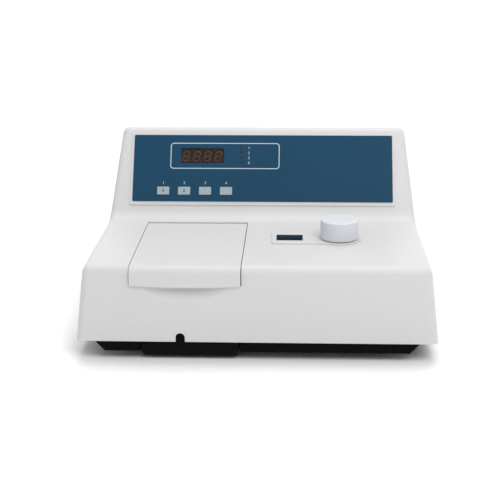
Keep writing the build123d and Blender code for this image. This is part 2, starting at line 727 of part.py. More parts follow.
# The cuvette holder: a block on a foot, with a square well and three light ports
WELL_FLOOR_Z = BEAM_Z - CUVETTE_BELOW_BEAM
HOLDER_TOP_Z = BEAM_Z + HOLDER_ABOVE_BEAM
LEAF_T = 0.4
LEAF_BOW = 2.0
with BuildPart() as cuvette_holder:
    slab(
        around(LID_X, HOLDER_SIZE + 14.0),
        around(CUVETTE_Y, HOLDER_SIZE + 14.0),
        (CHAMBER_FLOOR_Z, CHAMBER_FLOOR_Z + 4.0),
        corner=3.0,
    )
    slab(
        around(LID_X, HOLDER_SIZE),
        around(CUVETTE_Y, HOLDER_SIZE),
        (CHAMBER_FLOOR_Z, HOLDER_TOP_Z),
        corner=2.0,
    )
    slab(
        around(LID_X, CUVETTE_SIZE),
        around(CUVETTE_Y, CUVETTE_SIZE),
        (WELL_FLOOR_Z, HOLDER_TOP_Z),
        mode=Mode.SUBTRACT,
    )
    chamfer(cuvette_holder.faces().sort_by(Axis.Z)[-1].inner_wires()[0].edges(), 1.0)
    rod(facing_rear(CUVETTE_Y, LID_X, BEAM_Z), 4.0, HOLDER_SIZE, mode=Mode.SUBTRACT)
    rod(facing_right(LID_X - HOLDER_SIZE, CUVETTE_Y, BEAM_Z), 4.0, 2 * HOLDER_SIZE, mode=Mode.SUBTRACT)
    slab(
        around(LID_X, CUVETTE_SIZE / 2),
        (CUVETTE_Y - CUVETTE_SIZE / 2 - 2.0, CUVETTE_Y),
        (BEAM_Z, HOLDER_TOP_Z - 4.0),
        mode=Mode.SUBTRACT,
    )
save(cuvette_holder, "cuvette_holder")

# A bowed leaf spring in the front wall of the well pushes the cuvette into its corner
with BuildPart() as cuvette_spring:
    leaf_y = CUVETTE_Y - CUVETTE_SIZE / 2 - 2.0
    leaf_low = BEAM_Z + 1.0
    leaf_high = HOLDER_TOP_Z - 5.0
    leaf_mid = (leaf_low + leaf_high) / 2
    with BuildSketch(facing_right(LID_X - CUVETTE_SIZE / 4 + 0.3)):
        with BuildLine():
            ThreePointArc((leaf_y, leaf_low), (leaf_y + LEAF_BOW, leaf_mid), (leaf_y, leaf_high))
            Line((leaf_y, leaf_high), (leaf_y + LEAF_T, leaf_high))
            ThreePointArc(
                (leaf_y + LEAF_T, leaf_high), (leaf_y + LEAF_BOW + LEAF_T, leaf_mid), (leaf_y + LEAF_T, leaf_low)
            )
            Line((leaf_y + LEAF_T, leaf_low), (leaf_y, leaf_low))
        make_face()
    extrude(amount=CUVETTE_SIZE / 2 - 0.6)
save(cuvette_spring, "cuvette_spring")

# The printed overlay on the head's platform, open at the window, the lamps and the keys
OVERLAY_TOP = PLATFORM_H + OVERLAY_T
with BuildPart() as display_overlay:
    head_box(
        around(0, OVERLAY_WIDTH), (OVERLAY_LOW, OVERLAY_HIGH), (PLATFORM_H, OVERLAY_TOP), corner=1.5
    )
    head_box(
        around(WINDOW_X, WINDOW_WIDTH),
        around(WINDOW_UP, WINDOW_HEIGHT),
        (0, OVERLAY_TOP + 1),
        corner=0.6,
        mode=Mode.SUBTRACT,
    )
    for key_x in KEY_XS:
        head_box(
            around(key_x, KEY_WIDTH + 2 * KEY_GAP),
            around(KEY_UP, KEY_HEIGHT + 2 * KEY_GAP),
            (0, OVERLAY_TOP + 1),
            corner=1.3,
            mode=Mode.SUBTRACT,
        )
    with BuildSketch(HEAD_PLANE):
        with Locations((LED_X, LED_UP)):
            with GridLocations(0, LED_PITCH, 1, LED_COUNT):
                Circle(LED_R)
    extrude(amount=OVERLAY_TOP + 1, mode=Mode.SUBTRACT)
save(display_overlay, "display_overlay")

# The dark window over the digits lies in the platform's recess, under the overlay's edge
with BuildPart() as display_window:
    head_box(
        around(WINDOW_X, WINDOW_WIDTH + 2 * WINDOW_LEDGE),
        around(WINDOW_UP, WINDOW_HEIGHT + 2 * WINDOW_LEDGE),
        (PLATFORM_H - WINDOW_T, PLATFORM_H),
    )
save(display_window, "display_window")

# Display board with its connector, on four spacers behind the head's wall
BOARD_SPAN_X = (KEY_XS[0] - KEY_WIDTH, LED_X + 3 * SWITCH_SIZE)
BOARD_SPAN_UP = (KEY_UP - KEY_HEIGHT - 2.0, WINDOW_UP + MODULE_HEIGHT)
SPACER_POINTS = [
    (x, up)
    for x in (BOARD_SPAN_X[0] + SWITCH_SIZE / 2, BOARD_SPAN_X[1] - SWITCH_SIZE / 2)
    for up in (BOARD_SPAN_UP[0] + SWITCH_SIZE / 2, BOARD_SPAN_UP[1] - SWITCH_SIZE / 2)
]
with BuildPart() as display_board:
    head_box(BOARD_SPAN_X, BOARD_SPAN_UP, (-BOARD_BACK, -BOARD_FRONT), corner=1.0)
    head_box(around(LED_X, 24.0), around(KEY_UP, 7.0), (-BOARD_BACK - 9.0, -BOARD_BACK))
    head_box(around(WINDOW_X, 26.0), around(WINDOW_UP, 9.0), (-BOARD_BACK - 4.0, -BOARD_BACK))
    head_box(around(KEY_XS[1], 20.0), around(WINDOW_UP, 7.5), (-BOARD_BACK - 4.0, -BOARD_BACK))
save(display_board, "display_board")

with BuildPart() as display_spacers:
    with BuildSketch(HEAD_PLANE.offset(-BOARD_FRONT)):
        with Locations(*SPACER_POINTS):
            RegularPolygon(SWITCH_SIZE / 2, 6)
    extrude(amount=BOARD_FRONT - WALL)
save(display_spacers, "display_spacers")

# The four-digit module, whose face stands just behind the window
with BuildPart() as digit_display:
    head_box(
        around(WINDOW_X, MODULE_WIDTH),
        around(WINDOW_UP, MODULE_HEIGHT),
        (-BOARD_FRONT, MODULE_T - BOARD_FRONT),
    )
save(digit_display, "digit_display")

# Four round indicator lamps in a column, with domed tops just under the overlay
with BuildPart() as indicator_leds:
    with BuildSketch(HEAD_PLANE.offset(-BOARD_FRONT)):
        with Locations((LED_X, LED_UP)):
            with GridLocations(0, LED_PITCH, 1, LED_COUNT):
                Circle(LED_R)
    extrude(amount=BOARD_FRONT + PLATFORM_H)
    led_tops = indicator_leds.faces().sort_by(Axis((0, 0, 0), HEAD_PLANE.z_dir))[-LED_COUNT:]
    fillet(led_tops.edges(), LED_R * 0.9)
save(indicator_leds, "indicator_leds")

# Four keys: a cap through the overlay, a flange behind the wall and a stem to the switch
KEY_TOP = OVERLAY_TOP + KEY_PROUD
FLANGE_FACE = WALL + KEY_GAP
for number, key_x in enumerate(KEY_XS, start=1):
    with BuildPart() as key:
        key_face = (around(key_x, KEY_WIDTH), around(KEY_UP, KEY_HEIGHT))
        head_box(*key_face, (-FLANGE_FACE, KEY_TOP), corner=1.0)
        fillet(key.faces().sort_by(Axis((0, 0, 0), HEAD_PLANE.z_dir))[-1].edges(), 0.5)
        head_box(
            around(key_x, KEY_WIDTH + 2 * KEY_FLANGE),
            around(KEY_UP, KEY_HEIGHT + 2 * KEY_FLANGE),
            (-FLANGE_FACE - KEY_FLANGE_T, -FLANGE_FACE),
            corner=1.0,
        )
        rod(
            HEAD_PLANE.offset(-FLANGE_FACE - KEY_FLANGE_T),
            KEY_STEM_R,
            -(BOARD_FRONT - FLANGE_FACE - KEY_FLANGE_T - KEY_TRAVEL - 1.0),
            at=((key_x, KEY_UP),),
        )
    save(key, f"key_{number}")

# Key switches: square bodies on the board, each with a well for its key's stem
SWITCH_TOP = FLANGE_FACE + KEY_FLANGE_T + KEY_TRAVEL + KEY_GAP
with BuildPart() as key_switches:
    for key_x in KEY_XS:
        head_box(
            around(key_x, SWITCH_SIZE), around(KEY_UP, SWITCH_SIZE), (-BOARD_FRONT, -SWITCH_TOP), corner=0.6
        )
    rod(
        HEAD_PLANE.offset(-SWITCH_TOP),
        KEY_STEM_R + KEY_GAP,
        -SWITCH_WELL,
        at=[(key_x, KEY_UP) for key_x in KEY_XS],
        mode=Mode.SUBTRACT,
    )
save(key_switches, "key_switches")

# The wavelength knob: a ribbed skirt over a hub that grips the shaft
with BuildPart() as wavelength_knob:
    with BuildSketch(Plane(origin=(KNOB_X, KNOB_Y, KNOB_Z))):
        Circle(KNOB_R)
    extrude(amount=KNOB_H, taper=1.5)
    fillet(wavelength_knob.edges().sort_by(Axis.Z)[-1], 1.6)
    with BuildSketch(Plane(origin=(KNOB_X, KNOB_Y, KNOB_Z))):
        Circle(KNOB_R - KNOB_WALL)
        Circle(2.5 * SHAFT_R, mode=Mode.SUBTRACT)
    extrude(amount=KNOB_H - KNOB_WALL, mode=Mode.SUBTRACT)
    with BuildSketch(Plane(origin=(KNOB_X, KNOB_Y, KNOB_Z))):
        with PolarLocations(KNOB_R + 0.35, KNOB_RIBS):
            Circle(0.8)
    extrude(amount=KNOB_H - 2.5, mode=Mode.SUBTRACT)
    rod(
        Plane.XY.offset(KNOB_Z), SHAFT_R, KNOB_H - KNOB_WALL, at=KNOB_AXIS, mode=Mode.SUBTRACT
    )
save(wavelength_knob, "wavelength_knob")

# The knob's shaft, with a collar that rests on the drive bracket
BRACKET_UNDER_Z = SHAFT_Z + GEAR_R + 2 * GEAR_HUB_R / 3 + 2.4
BRACKET_OVER_Z = BRACKET_UNDER_Z + WALL
GEAR_TOP_Z = BRACKET_UNDER_Z - FACE_GAP
GEAR_LOW_Z = SHAFT_Z + GEAR_R * (1 - GEAR_FACE)
with BuildPart() as knob_shaft:
    shaft_top = KNOB_Z + KNOB_H - KNOB_WALL
    rod(Plane.XY.offset(GEAR_LOW_Z), SHAFT_R, shaft_top - GEAR_LOW_Z, at=KNOB_AXIS)
    rod(Plane.XY.offset(BRACKET_OVER_Z + FACE_GAP), 1.5 * SHAFT_R, COLLAR_T, at=KNOB_AXIS)
save(knob_shaft, "knob_shaft")


def tooth_ring(plane, radius, backlash):
    """The outline of a mitre gear at one end of its teeth, square to its axis."""
    scale = radius / GEAR_R
    tip = (GEAR_R + 0.62) * scale
    root = (GEAR_R - 0.86) * scale
    step = 360 / GEAR_TEETH
    outline = []
    for tooth in range(GEAR_TEETH):
        for reach, share in ((root, -0.36), (tip, -0.13), (tip, 0.13), (root, 0.36)):
            angle = radians(step * (tooth + share) - backlash * (1 if share > 0 else -1))
            outline.append((reach * cos(angle), reach * sin(angle)))
    with BuildSketch(plane) as ring:
        with BuildLine():
            Polyline(*outline, close=True)
        make_face()
    return ring.sketch


def mitre_gear(apex, axis, across, turn, back):
    """A straight-toothed mitre gear whose teeth run towards the point where the shafts meet."""
    start = across.rotate(Axis((0, 0, 0), axis), turn)
    big = Plane(origin=apex + axis * GEAR_R, x_dir=start, z_dir=axis)
    small = big.offset(-GEAR_R * GEAR_FACE)
    with BuildPart() as gear:
        loft([tooth_ring(small, GEAR_R * (1 - GEAR_FACE), 0.9), tooth_ring(big, GEAR_R, 0.9)], ruled=True)
        rod(big, GEAR_R - 0.9, 1.4)
        rod(big, GEAR_HUB_R, back)
        rod(small.offset(-1), SHAFT_R, GEAR_R + back + 2, mode=Mode.SUBTRACT)
    return gear.part


# The mitre pair turns the knob's upright shaft into the cross shaft: equal teeth
MEET = Vector(KNOB_X, KNOB_Y, SHAFT_Z)
GEAR_BACK = GEAR_TOP_Z - SHAFT_Z - GEAR_R
with BuildPart() as knob_gear:
    add(mitre_gear(MEET, Vector(0, 0, 1), Vector(1, 0, 0), 0.0, GEAR_BACK))
save(knob_gear, "knob_gear")
with BuildPart() as screw_gear:
    add(mitre_gear(MEET, Vector(-1, 0, 0), Vector(0, 0, 1), 180 / GEAR_TEETH, GEAR_BACK))
save(screw_gear, "screw_gear")

# The drive bracket: a cast arch over the gears, its right leg long enough for the guide rod
LEG_LEFT_X = KNOB_X - GEAR_R - GEAR_BACK - FACE_GAP
LEG_RIGHT_X = KNOB_X + GEAR_R + GEAR_BACK + 10.0
GUIDE_Y = KNOB_Y + GUIDE_OFFSET
BRACKET_DEPTH = 24.0
with BuildPart() as gear_bracket:
    slab(
        (LEG_LEFT_X - BRACKET_T, LEG_RIGHT_X + BRACKET_T),
        around(KNOB_Y, BRACKET_DEPTH),
        (MONO_TOP_Z, BRACKET_OVER_Z),
    )
    slab(
        (LEG_LEFT_X, LEG_RIGHT_X),
        around(KNOB_Y, BRACKET_DEPTH),
        (MONO_TOP_Z, BRACKET_UNDER_Z),
        mode=Mode.SUBTRACT,
    )
    slab(
        (LEG_RIGHT_X, LEG_RIGHT_X + BRACKET_T),
        (KNOB_Y, GUIDE_Y + 2 * GUIDE_R),
        (MONO_TOP_Z, SHAFT_Z + 2 * GUIDE_R),
    )
    rod(
        Plane.XY.offset(MONO_TOP_Z),
        SHAFT_R + RUN,
        DECK_Z - MONO_TOP_Z,
        at=KNOB_AXIS,
        mode=Mode.SUBTRACT,
    )
    rod(facing_right(MONO_LEFT, KNOB_Y, SHAFT_Z), SHAFT_R + RUN, MONO_RIGHT, mode=Mode.SUBTRACT)
    rod(facing_right(MONO_LEFT, GUIDE_Y, SHAFT_Z), GUIDE_R, MONO_RIGHT, mode=Mode.SUBTRACT)
save(gear_bracket, "gear_bracket")

# The cross shaft carries the counter at its left end and is the lead screw at its right
COUNTER_SPAN_X = around(COUNTER_X, COUNTER_WIDTH + 2 * BOARD_T)
END_WALL_X = (MONO_RIGHT - BRACKET_T - 1.0, MONO_RIGHT - 1.0)
with BuildPart() as drive_screw:
    rod(
        facing_right(COUNTER_SPAN_X[0] - 1.0, KNOB_Y, SHAFT_Z),
        SHAFT_R,
        END_WALL_X[1] - COUNTER_SPAN_X[0] + 1.0,
    )
    chamfer(drive_screw.edges().filter_by(GeomType.CIRCLE), 0.5)
save(drive_screw, "drive_screw")

with BuildPart() as guide_rod:
    rod(facing_right(LEG_RIGHT_X, GUIDE_Y, SHAFT_Z), GUIDE_R, END_WALL_X[1] - LEG_RIGHT_X)
save(guide_rod, "guide_rod")

# The carriage: a nut on the lead screw, steadied by the guide rod, that pushes the arm
GRATING_Y = CUVETTE_Y
TIP_Y = GRATING_Y + SINE_ARM
ARM_Z = MONO_TOP_Z + 1.3
PUSH_X = GRATING_X + ARM_TIP_R + FACE_GAP
CARRIAGE_T = 5.0
with BuildPart() as screw_carriage:
    slab((PUSH_X, PUSH_X + 11.0), (KNOB_Y - 2 * SHAFT_R, TIP_Y + 6.0), around(SHAFT_Z, CARRIAGE_T))
    slab((PUSH_X, PUSH_X + CARRIAGE_T), around(TIP_Y, 12.0), (ARM_Z, SHAFT_Z))
    rod(facing_right(PUSH_X, KNOB_Y, SHAFT_Z), 2 * SHAFT_R, 11.0)
    rod(facing_right(PUSH_X, GUIDE_Y, SHAFT_Z), 2 * GUIDE_R, 11.0)
    rod(facing_right(PUSH_X - 1, KNOB_Y, SHAFT_Z), SHAFT_R + RUN, 13.0, mode=Mode.SUBTRACT)
    rod(facing_right(PUSH_X - 1, GUIDE_Y, SHAFT_Z), GUIDE_R + RUN, 13.0, mode=Mode.SUBTRACT)
save(screw_carriage, "screw_carriage")

# The sine arm: a tapered lever on the grating's shaft, round where it meets the carriage
with BuildPart() as sine_arm:
    with BuildSketch(Plane(origin=(GRATING_X, GRATING_Y, ARM_Z))) as arm:
        Circle(7.0)
        with Locations((0, SINE_ARM)):
            Circle(ARM_TIP_R / 2)
        make_hull()
        with Locations((0, SINE_ARM)):
            Circle(ARM_TIP_R)
        Circle(4.0, mode=Mode.SUBTRACT)
    extrude(amount=ARM_T)
save(sine_arm, "sine_arm")

# The counter: a dark frame on the monochromator, up to the deck, with three number drums
COUNTER_TOP_Z = UNDER_DECK_Z - FACE_GAP
SHELF_Z = SHAFT_Z + DRUM_R + 1.2
with BuildPart() as counter_frame:
    counter_y = around(KNOB_Y, COUNTER_DEPTH + 2 * BOARD_T)
    inner_x = (COUNTER_SPAN_X[0] + BOARD_T, COUNTER_SPAN_X[1] - BOARD_T)
    inner_y = (counter_y[0] + BOARD_T, counter_y[1] - BOARD_T)
    slab(COUNTER_SPAN_X, counter_y, (MONO_TOP_Z, COUNTER_TOP_Z))
    slab(inner_x, inner_y, (MONO_TOP_Z + BOARD_T, SHELF_Z), mode=Mode.SUBTRACT)
    slab(inner_x, inner_y, (SHELF_Z + 1.2, COUNTER_TOP_Z), mode=Mode.SUBTRACT)
    slab(
        around(COUNTER_X, 3 * DRUM_PITCH + 1.0),
        around(KNOB_Y, DRUM_R),
        (SHELF_Z - 1, SHELF_Z + 2),
        mode=Mode.SUBTRACT,
    )
    rod(
        facing_right(COUNTER_SPAN_X[0] - 2, KNOB_Y, SHAFT_Z),
        SHAFT_R + RUN,
        COUNTER_WIDTH + 10,
        mode=Mode.SUBTRACT,
    )
save(counter_frame, "counter_frame")

for place, drum_name, bore in (
    (-1, "drum_hundreds", SHAFT_R + RUN),
    (0, "drum_tens", SHAFT_R + RUN),
    (1, "drum_units", SHAFT_R),
):
    drum_x = COUNTER_X + place * DRUM_PITCH - DRUM_WIDTH / 2
    with BuildPart() as drum:
        rod(facing_right(drum_x, KNOB_Y, SHAFT_Z), DRUM_R, DRUM_WIDTH)
        rod(facing_right(drum_x - 1, KNOB_Y, SHAFT_Z), bore, DRUM_WIDTH + 2, mode=Mode.SUBTRACT)
        with BuildSketch(facing_right(drum_x + DRUM_WIDTH, KNOB_Y, SHAFT_Z)):
            Circle(DRUM_R - 1.5)
            Circle(SHAFT_R + 2.0, mode=Mode.SUBTRACT)
        extrude(amount=-0.8, mode=Mode.SUBTRACT)
    save(drum, drum_name)

with BuildPart() as counter_window:
    slab(
        around(COUNTER_X, COUNTER_WIDTH - 0.4),
        around(KNOB_Y, COUNTER_DEPTH - 0.4),
        (PAD_Z - PANE_SINK - PANE_T, PAD_Z - PANE_SINK),
        corner=0.6,
    )
save(counter_window, "counter_window")

# Monochromator: a cast box on four legs, closed by a lid plate that carries the drive
BODY_TOP_Z = MONO_TOP_Z - MONO_COVER_T
BODY_FLOOR_Z = MONO_BOTTOM_Z + MONO_WALL
BODY_Y = (FRONT_Y + MONO_FRONT, FRONT_Y + MONO_REAR)
EXIT_RUN = BODY_Y[1] - GRATING_Y
EXIT_X = GRATING_X - EXIT_RUN / tan(radians(EXIT_ANGLE))
with BuildPart() as monochromator_body:
    slab((MONO_LEFT, MONO_RIGHT), BODY_Y, (MONO_BOTTOM_Z, BODY_TOP_Z), corner=5.0)
    slab(
        (MONO_LEFT + MONO_WALL, MONO_RIGHT - MONO_WALL),
        (BODY_Y[0] + MONO_WALL, BODY_Y[1] - MONO_WALL),
        (BODY_FLOOR_Z, BODY_TOP_Z + 1),
        corner=2.0,
        mode=Mode.SUBTRACT,
    )
    rod(Plane.XY.offset(PAN_FLOOR_Z), CHAMBER_LUG / 2, MONO_BOTTOM_Z - PAN_FLOOR_Z, at=LEG_POINTS)
    rod(Plane.XY.offset(PAN_FLOOR_Z), SCREW_R, SCREW_LENGTH - PAN_T, at=LEG_POINTS, mode=Mode.SUBTRACT)
    rod(facing_right(MONO_LEFT - 1, CUVETTE_Y, BEAM_Z), TUBE_BORE_R - 1, MONO_WALL + 2, mode=Mode.SUBTRACT)
    rod(facing_rear(BODY_Y[1] + 1, EXIT_X, BEAM_Z), TUBE_BORE_R - 1, -MONO_WALL - 2, mode=Mode.SUBTRACT)
    rod(
        Plane.XY.offset(MONO_BOTTOM_Z + 1), SHAFT_R + RUN, MONO_WALL, at=((GRATING_X, GRATING_Y),),
        mode=Mode.SUBTRACT,
    )
save(monochromator_body, "monochromator_body")

with BuildPart() as monochromator_cover:
    slab((MONO_LEFT, MONO_RIGHT), BODY_Y, (BODY_TOP_Z, MONO_TOP_Z), corner=5.0)
    slab(END_WALL_X, (KNOB_Y - 3 * SHAFT_R, GUIDE_Y + 2 * GUIDE_R), (MONO_TOP_Z, SHAFT_Z + 2 * SHAFT_R))
    rod(facing_right(COUNTER_X, KNOB_Y, SHAFT_Z), SHAFT_R + RUN, MONO_RIGHT, mode=Mode.SUBTRACT)
    rod(facing_right(COUNTER_X, GUIDE_Y, SHAFT_Z), GUIDE_R, MONO_RIGHT, mode=Mode.SUBTRACT)
    rod(
        Plane.XY.offset(BODY_TOP_Z - 1), 4.0 + RUN, MONO_COVER_T + 2, at=((GRATING_X, GRATING_Y),),
        mode=Mode.SUBTRACT,
    )
save(monochromator_cover, "monochromator_cover")

# Slit plates: entrance on the left wall and exit on the rear wall
with BuildPart() as slit_plates:
    with BuildSketch(facing_right(MONO_LEFT + MONO_WALL, CUVETTE_Y, BEAM_Z)):
        Rectangle(24.0, 24.0)
        Rectangle(1.0, 10.0, mode=Mode.SUBTRACT)
    extrude(amount=SLIT_T)
    with BuildSketch(facing_rear(BODY_Y[1] - MONO_WALL, EXIT_X, BEAM_Z)):
        Rectangle(24.0, 24.0)
        Rectangle(1.0, 10.0, mode=Mode.SUBTRACT)
    extrude(amount=-SLIT_T)
save(slit_plates, "slit_plates")

# The grating on its turntable: a fork between a foot pivot and a top shaft
TABLE_TURN = radians(180 - GRATING_TURN)
TABLE_DIR = Vector(cos(TABLE_TURN), sin(TABLE_TURN), 0)
GRATING_LOW_Z = BEAM_Z - GRATING_SIZE / 2
GRATING_HIGH_Z = BEAM_Z + GRATING_SIZE / 2


def table_plane(z):
    """The turntable's own plane: its first direction is the way the grating looks."""
    return Plane(origin=(GRATING_X, GRATING_Y, z), x_dir=TABLE_DIR, z_dir=(0, 0, 1))


with BuildPart() as grating_table:
    for disc_z in (GRATING_LOW_Z - 3.0, GRATING_HIGH_Z):
        extrude(
            oblong(table_plane(disc_z), (-GRATING_T - 4.0, 6.0), around(0, GRATING_SIZE), corner=2.0),
            amount=3.0,
        )
    extrude(
        oblong(table_plane(GRATING_LOW_Z), (-GRATING_T - 4.0, -GRATING_T), around(0, GRATING_SIZE)),
        amount=GRATING_SIZE,
    )
    rod(table_plane(MONO_BOTTOM_Z + 1.5), SHAFT_R, GRATING_LOW_Z - 3.0 - MONO_BOTTOM_Z - 1.5)
    rod(table_plane(GRATING_HIGH_Z + 3.0), 4.0, ARM_Z + ARM_T - GRATING_HIGH_Z - 3.0)
save(grating_table, "grating_table")

with BuildPart() as grating:
    extrude(
        oblong(table_plane(GRATING_LOW_Z), (-GRATING_T, 0), around(0, GRATING_SIZE - 1.0)),
        amount=GRATING_SIZE,
    )
    hollow_centre = Vector(GRATING_X, GRATING_Y, 0) + TABLE_DIR * (GRATING_HOLLOW_R - 1.6)
    rod(Plane(origin=hollow_centre), GRATING_HOLLOW_R, DECK_Z, mode=Mode.SUBTRACT)
save(grating, "grating")


def lens_tube(start, length):
    """A turned tube from a plane, with a spigot that passes into the wall behind it."""
    with BuildPart() as tube:
        rod(start, TUBE_R, length)
        rod(start, TUBE_SPIGOT_R, -CHAMBER_WALL)
        rod(start.offset(-CHAMBER_WALL - 1), TUBE_BORE_R, length + CHAMBER_WALL + 2, mode=Mode.SUBTRACT)
    return tube.part


def bulged_lens(plane, radius):
    """A lens with one flat face on a plane and one face bulged away from it."""
    with BuildPart() as lens:
        with BuildSketch(Plane(origin=plane.origin, x_dir=plane.x_dir, z_dir=plane.y_dir)):
            with BuildLine():
                Polyline((0, LENS_T), (0, 0), (radius, 0), (radius, LENS_T - LENS_BULGE))
                RadiusArc(
                    (radius, LENS_T - LENS_BULGE),
                    (0, LENS_T),
                    -(radius**2 + LENS_BULGE**2) / (2 * LENS_BULGE),
                )
            make_face()
        revolve(axis=Axis(plane.origin, plane.z_dir))
    return lens.part


# Emission tube and lens, between the chamber's right port and the monochromator
EMISSION_PLANE = facing_right(CHAMBER_RIGHT, CUVETTE_Y, BEAM_Z)
with BuildPart() as emission_tube:
    add(lens_tube(EMISSION_PLANE, MONO_LEFT - CHAMBER_RIGHT))
save(emission_tube, "emission_tube")
with BuildPart() as emission_lens:
    add(bulged_lens(EMISSION_PLANE.offset(2.0), TUBE_BORE_R - RUN))
save(emission_lens, "emission_lens")

# Excitation tube and lens, from the lamp house to the chamber, with a slot for the filter
HOUSE_Y = (FRONT_Y + HOUSE_FRONT, FRONT_Y + HOUSE_REAR)
EXCITATION_PLANE = facing_rear(CHAMBER_BACK_Y, LID_X, BEAM_Z)
FILTER_Y = CHAMBER_BACK_Y + 12.0
FILTER_T = 3.0
FILTER_HALF = TUBE_BORE_R + 1.0
with BuildPart() as excitation_tube:
    add(lens_tube(EXCITATION_PLANE, HOUSE_Y[0] - CHAMBER_BACK_Y))
    slab(
        around(LID_X, 2 * FILTER_HALF),
        around(FILTER_Y, FILTER_T + 0.4),
        (BEAM_Z - FILTER_HALF, BEAM_Z + TUBE_R + 1),
        mode=Mode.SUBTRACT,
    )
save(excitation_tube, "excitation_tube")
with BuildPart() as excitation_lens:
    add(bulged_lens(EXCITATION_PLANE.offset(FILTER_Y - CHAMBER_BACK_Y + 6.0), TUBE_BORE_R - RUN))
save(excitation_lens, "excitation_lens")

# The filter slide stands in the tube's slot, with its glass at the beam and a grip on top
with BuildPart() as filter_slide:
    slab(
        around(LID_X, 2 * FILTER_HALF - 0.4),
        around(FILTER_Y, FILTER_T),
        (BEAM_Z - FILTER_HALF, BEAM_Z + TUBE_R + 8.0),
    )
    slab(
        around(LID_X, FILTER_HALF),
        around(FILTER_Y, 2 * FILTER_T),
        (BEAM_Z + TUBE_R + 8.0, BEAM_Z + TUBE_R + 16.0),
        corner=1.0,
    )
    rod(facing_rear(FILTER_Y - FILTER_T, LID_X, BEAM_Z), TUBE_BORE_R - 2, 2 * FILTER_T, mode=Mode.SUBTRACT)
save(filter_slide, "filter_slide")
with BuildPart() as excitation_filter:
    rod(facing_rear(FILTER_Y - 1.0, LID_X, BEAM_Z), TUBE_BORE_R - 2, 2.0)
save(excitation_filter, "excitation_filter")

# The lamp house: a folded sheet box with a port in front and slots in its top and sides
HOUSE_X = around(LID_X, HOUSE_WIDTH)
with BuildPart() as lamp_house:
    slab(HOUSE_X, HOUSE_Y, (PAN_FLOOR_Z, HOUSE_TOP_Z))
    slab(
        (HOUSE_X[0] + HOUSE_T, HOUSE_X[1] - HOUSE_T),
        (HOUSE_Y[0] + HOUSE_T, HOUSE_Y[1] - HOUSE_T),
        (PAN_FLOOR_Z - 1, HOUSE_TOP_Z - HOUSE_T),
        mode=Mode.SUBTRACT,
    )
    rod(facing_rear(HOUSE_Y[0] - 1, LID_X, BEAM_Z), TUBE_BORE_R, HOUSE_T + 2, mode=Mode.SUBTRACT)
    with BuildSketch(Plane.XY.offset(HOUSE_TOP_Z - HOUSE_T - 1)):
        with Locations((LID_X, (HOUSE_Y[0] + HOUSE_Y[1]) / 2)):
            with GridLocations(0, 10.0, 1, 6):
                SlotOverall(50.0, 4.0)
    extrude(amount=HOUSE_T + 2, mode=Mode.SUBTRACT)
    with BuildSketch(facing_rear(HOUSE_Y[1] - HOUSE_T - 1, LID_X, (PAN_FLOOR_Z + HOUSE_TOP_Z) / 2)):
        with GridLocations(10.0, 0, 6, 1):
            SlotOverall(44.0, 4.0, rotation=90)
    extrude(amount=HOUSE_T + 2, mode=Mode.SUBTRACT)
save(lamp_house, "lamp_house")

# The lamp stands upright in a ceramic socket, its filament at the height of the beam
LAMP_R = 6.5
LAMP_H = 30.0
SOCKET_TOP_Z = BEAM_Z - 16.0
with BuildPart() as lamp_socket:
    slab(around(LID_X, 24.0), around(LAMP_Y, 24.0), (PAN_FLOOR_Z, SOCKET_TOP_Z), corner=3.0)
    slab(around(LID_X, 40.0), around(LAMP_Y, 16.0), (PAN_FLOOR_Z, PAN_FLOOR_Z + 5.0), corner=3.0)
save(lamp_socket, "lamp_socket")
with BuildPart() as lamp:
    lamp_side = Plane(origin=(LID_X, LAMP_Y, SOCKET_TOP_Z), x_dir=(1, 0, 0), z_dir=(0, -1, 0))
    neck_r = LAMP_R - 1.5
    shoulder = (LAMP_R, LAMP_H * 0.73)
    with BuildSketch(lamp_side):
        with BuildLine():
            Polyline((0, LAMP_H), (0, 0), (neck_r, 0), (neck_r, 5.0), (LAMP_R, 8.0), shoulder)
            Spline(shoulder, (3.6, LAMP_H - 2.4), (0, LAMP_H), tangents=((0, 1), (-1, 0)))
        make_face()
    revolve(axis=Axis((LID_X, LAMP_Y, 0), (0, 0, 1)))
save(lamp, "lamp")

# The detector housing stands against the exit slit, over the photomultiplier and its base
DETECTOR_Y = (BODY_Y[1], BODY_Y[1] + DETECTOR_DEPTH)
DETECTOR_MID_Y = (DETECTOR_Y[0] + DETECTOR_Y[1]) / 2
with BuildPart() as detector_housing:
    slab(around(DETECTOR_X, DETECTOR_WIDTH), DETECTOR_Y, (PAN_FLOOR_Z, DETECTOR_TOP_Z), corner=3.0)
    slab(
        around(DETECTOR_X, DETECTOR_WIDTH - 2 * WALL),
        (DETECTOR_Y[0] + WALL, DETECTOR_Y[1] - WALL),
        (PAN_FLOOR_Z - 1, DETECTOR_TOP_Z - WALL),
        mode=Mode.SUBTRACT,
    )
    rod(facing_rear(DETECTOR_Y[0] - 1, EXIT_X, BEAM_Z), TUBE_BORE_R - 2, WALL + 2, mode=Mode.SUBTRACT)
save(detector_housing, "detector_housing")
with BuildPart() as photomultiplier:
    rod(Plane.XY.offset(PAN_FLOOR_Z), TUBE_GLASS_R + 2.5, 16.0, at=((DETECTOR_X, DETECTOR_MID_Y),))
    rod(Plane.XY.offset(PAN_FLOOR_Z + 16.0), TUBE_GLASS_R, 58.0, at=((DETECTOR_X, DETECTOR_MID_Y),))
    fillet(photomultiplier.edges().sort_by(Axis.Z)[-1], 9.0)
save(photomultiplier, "photomultiplier")

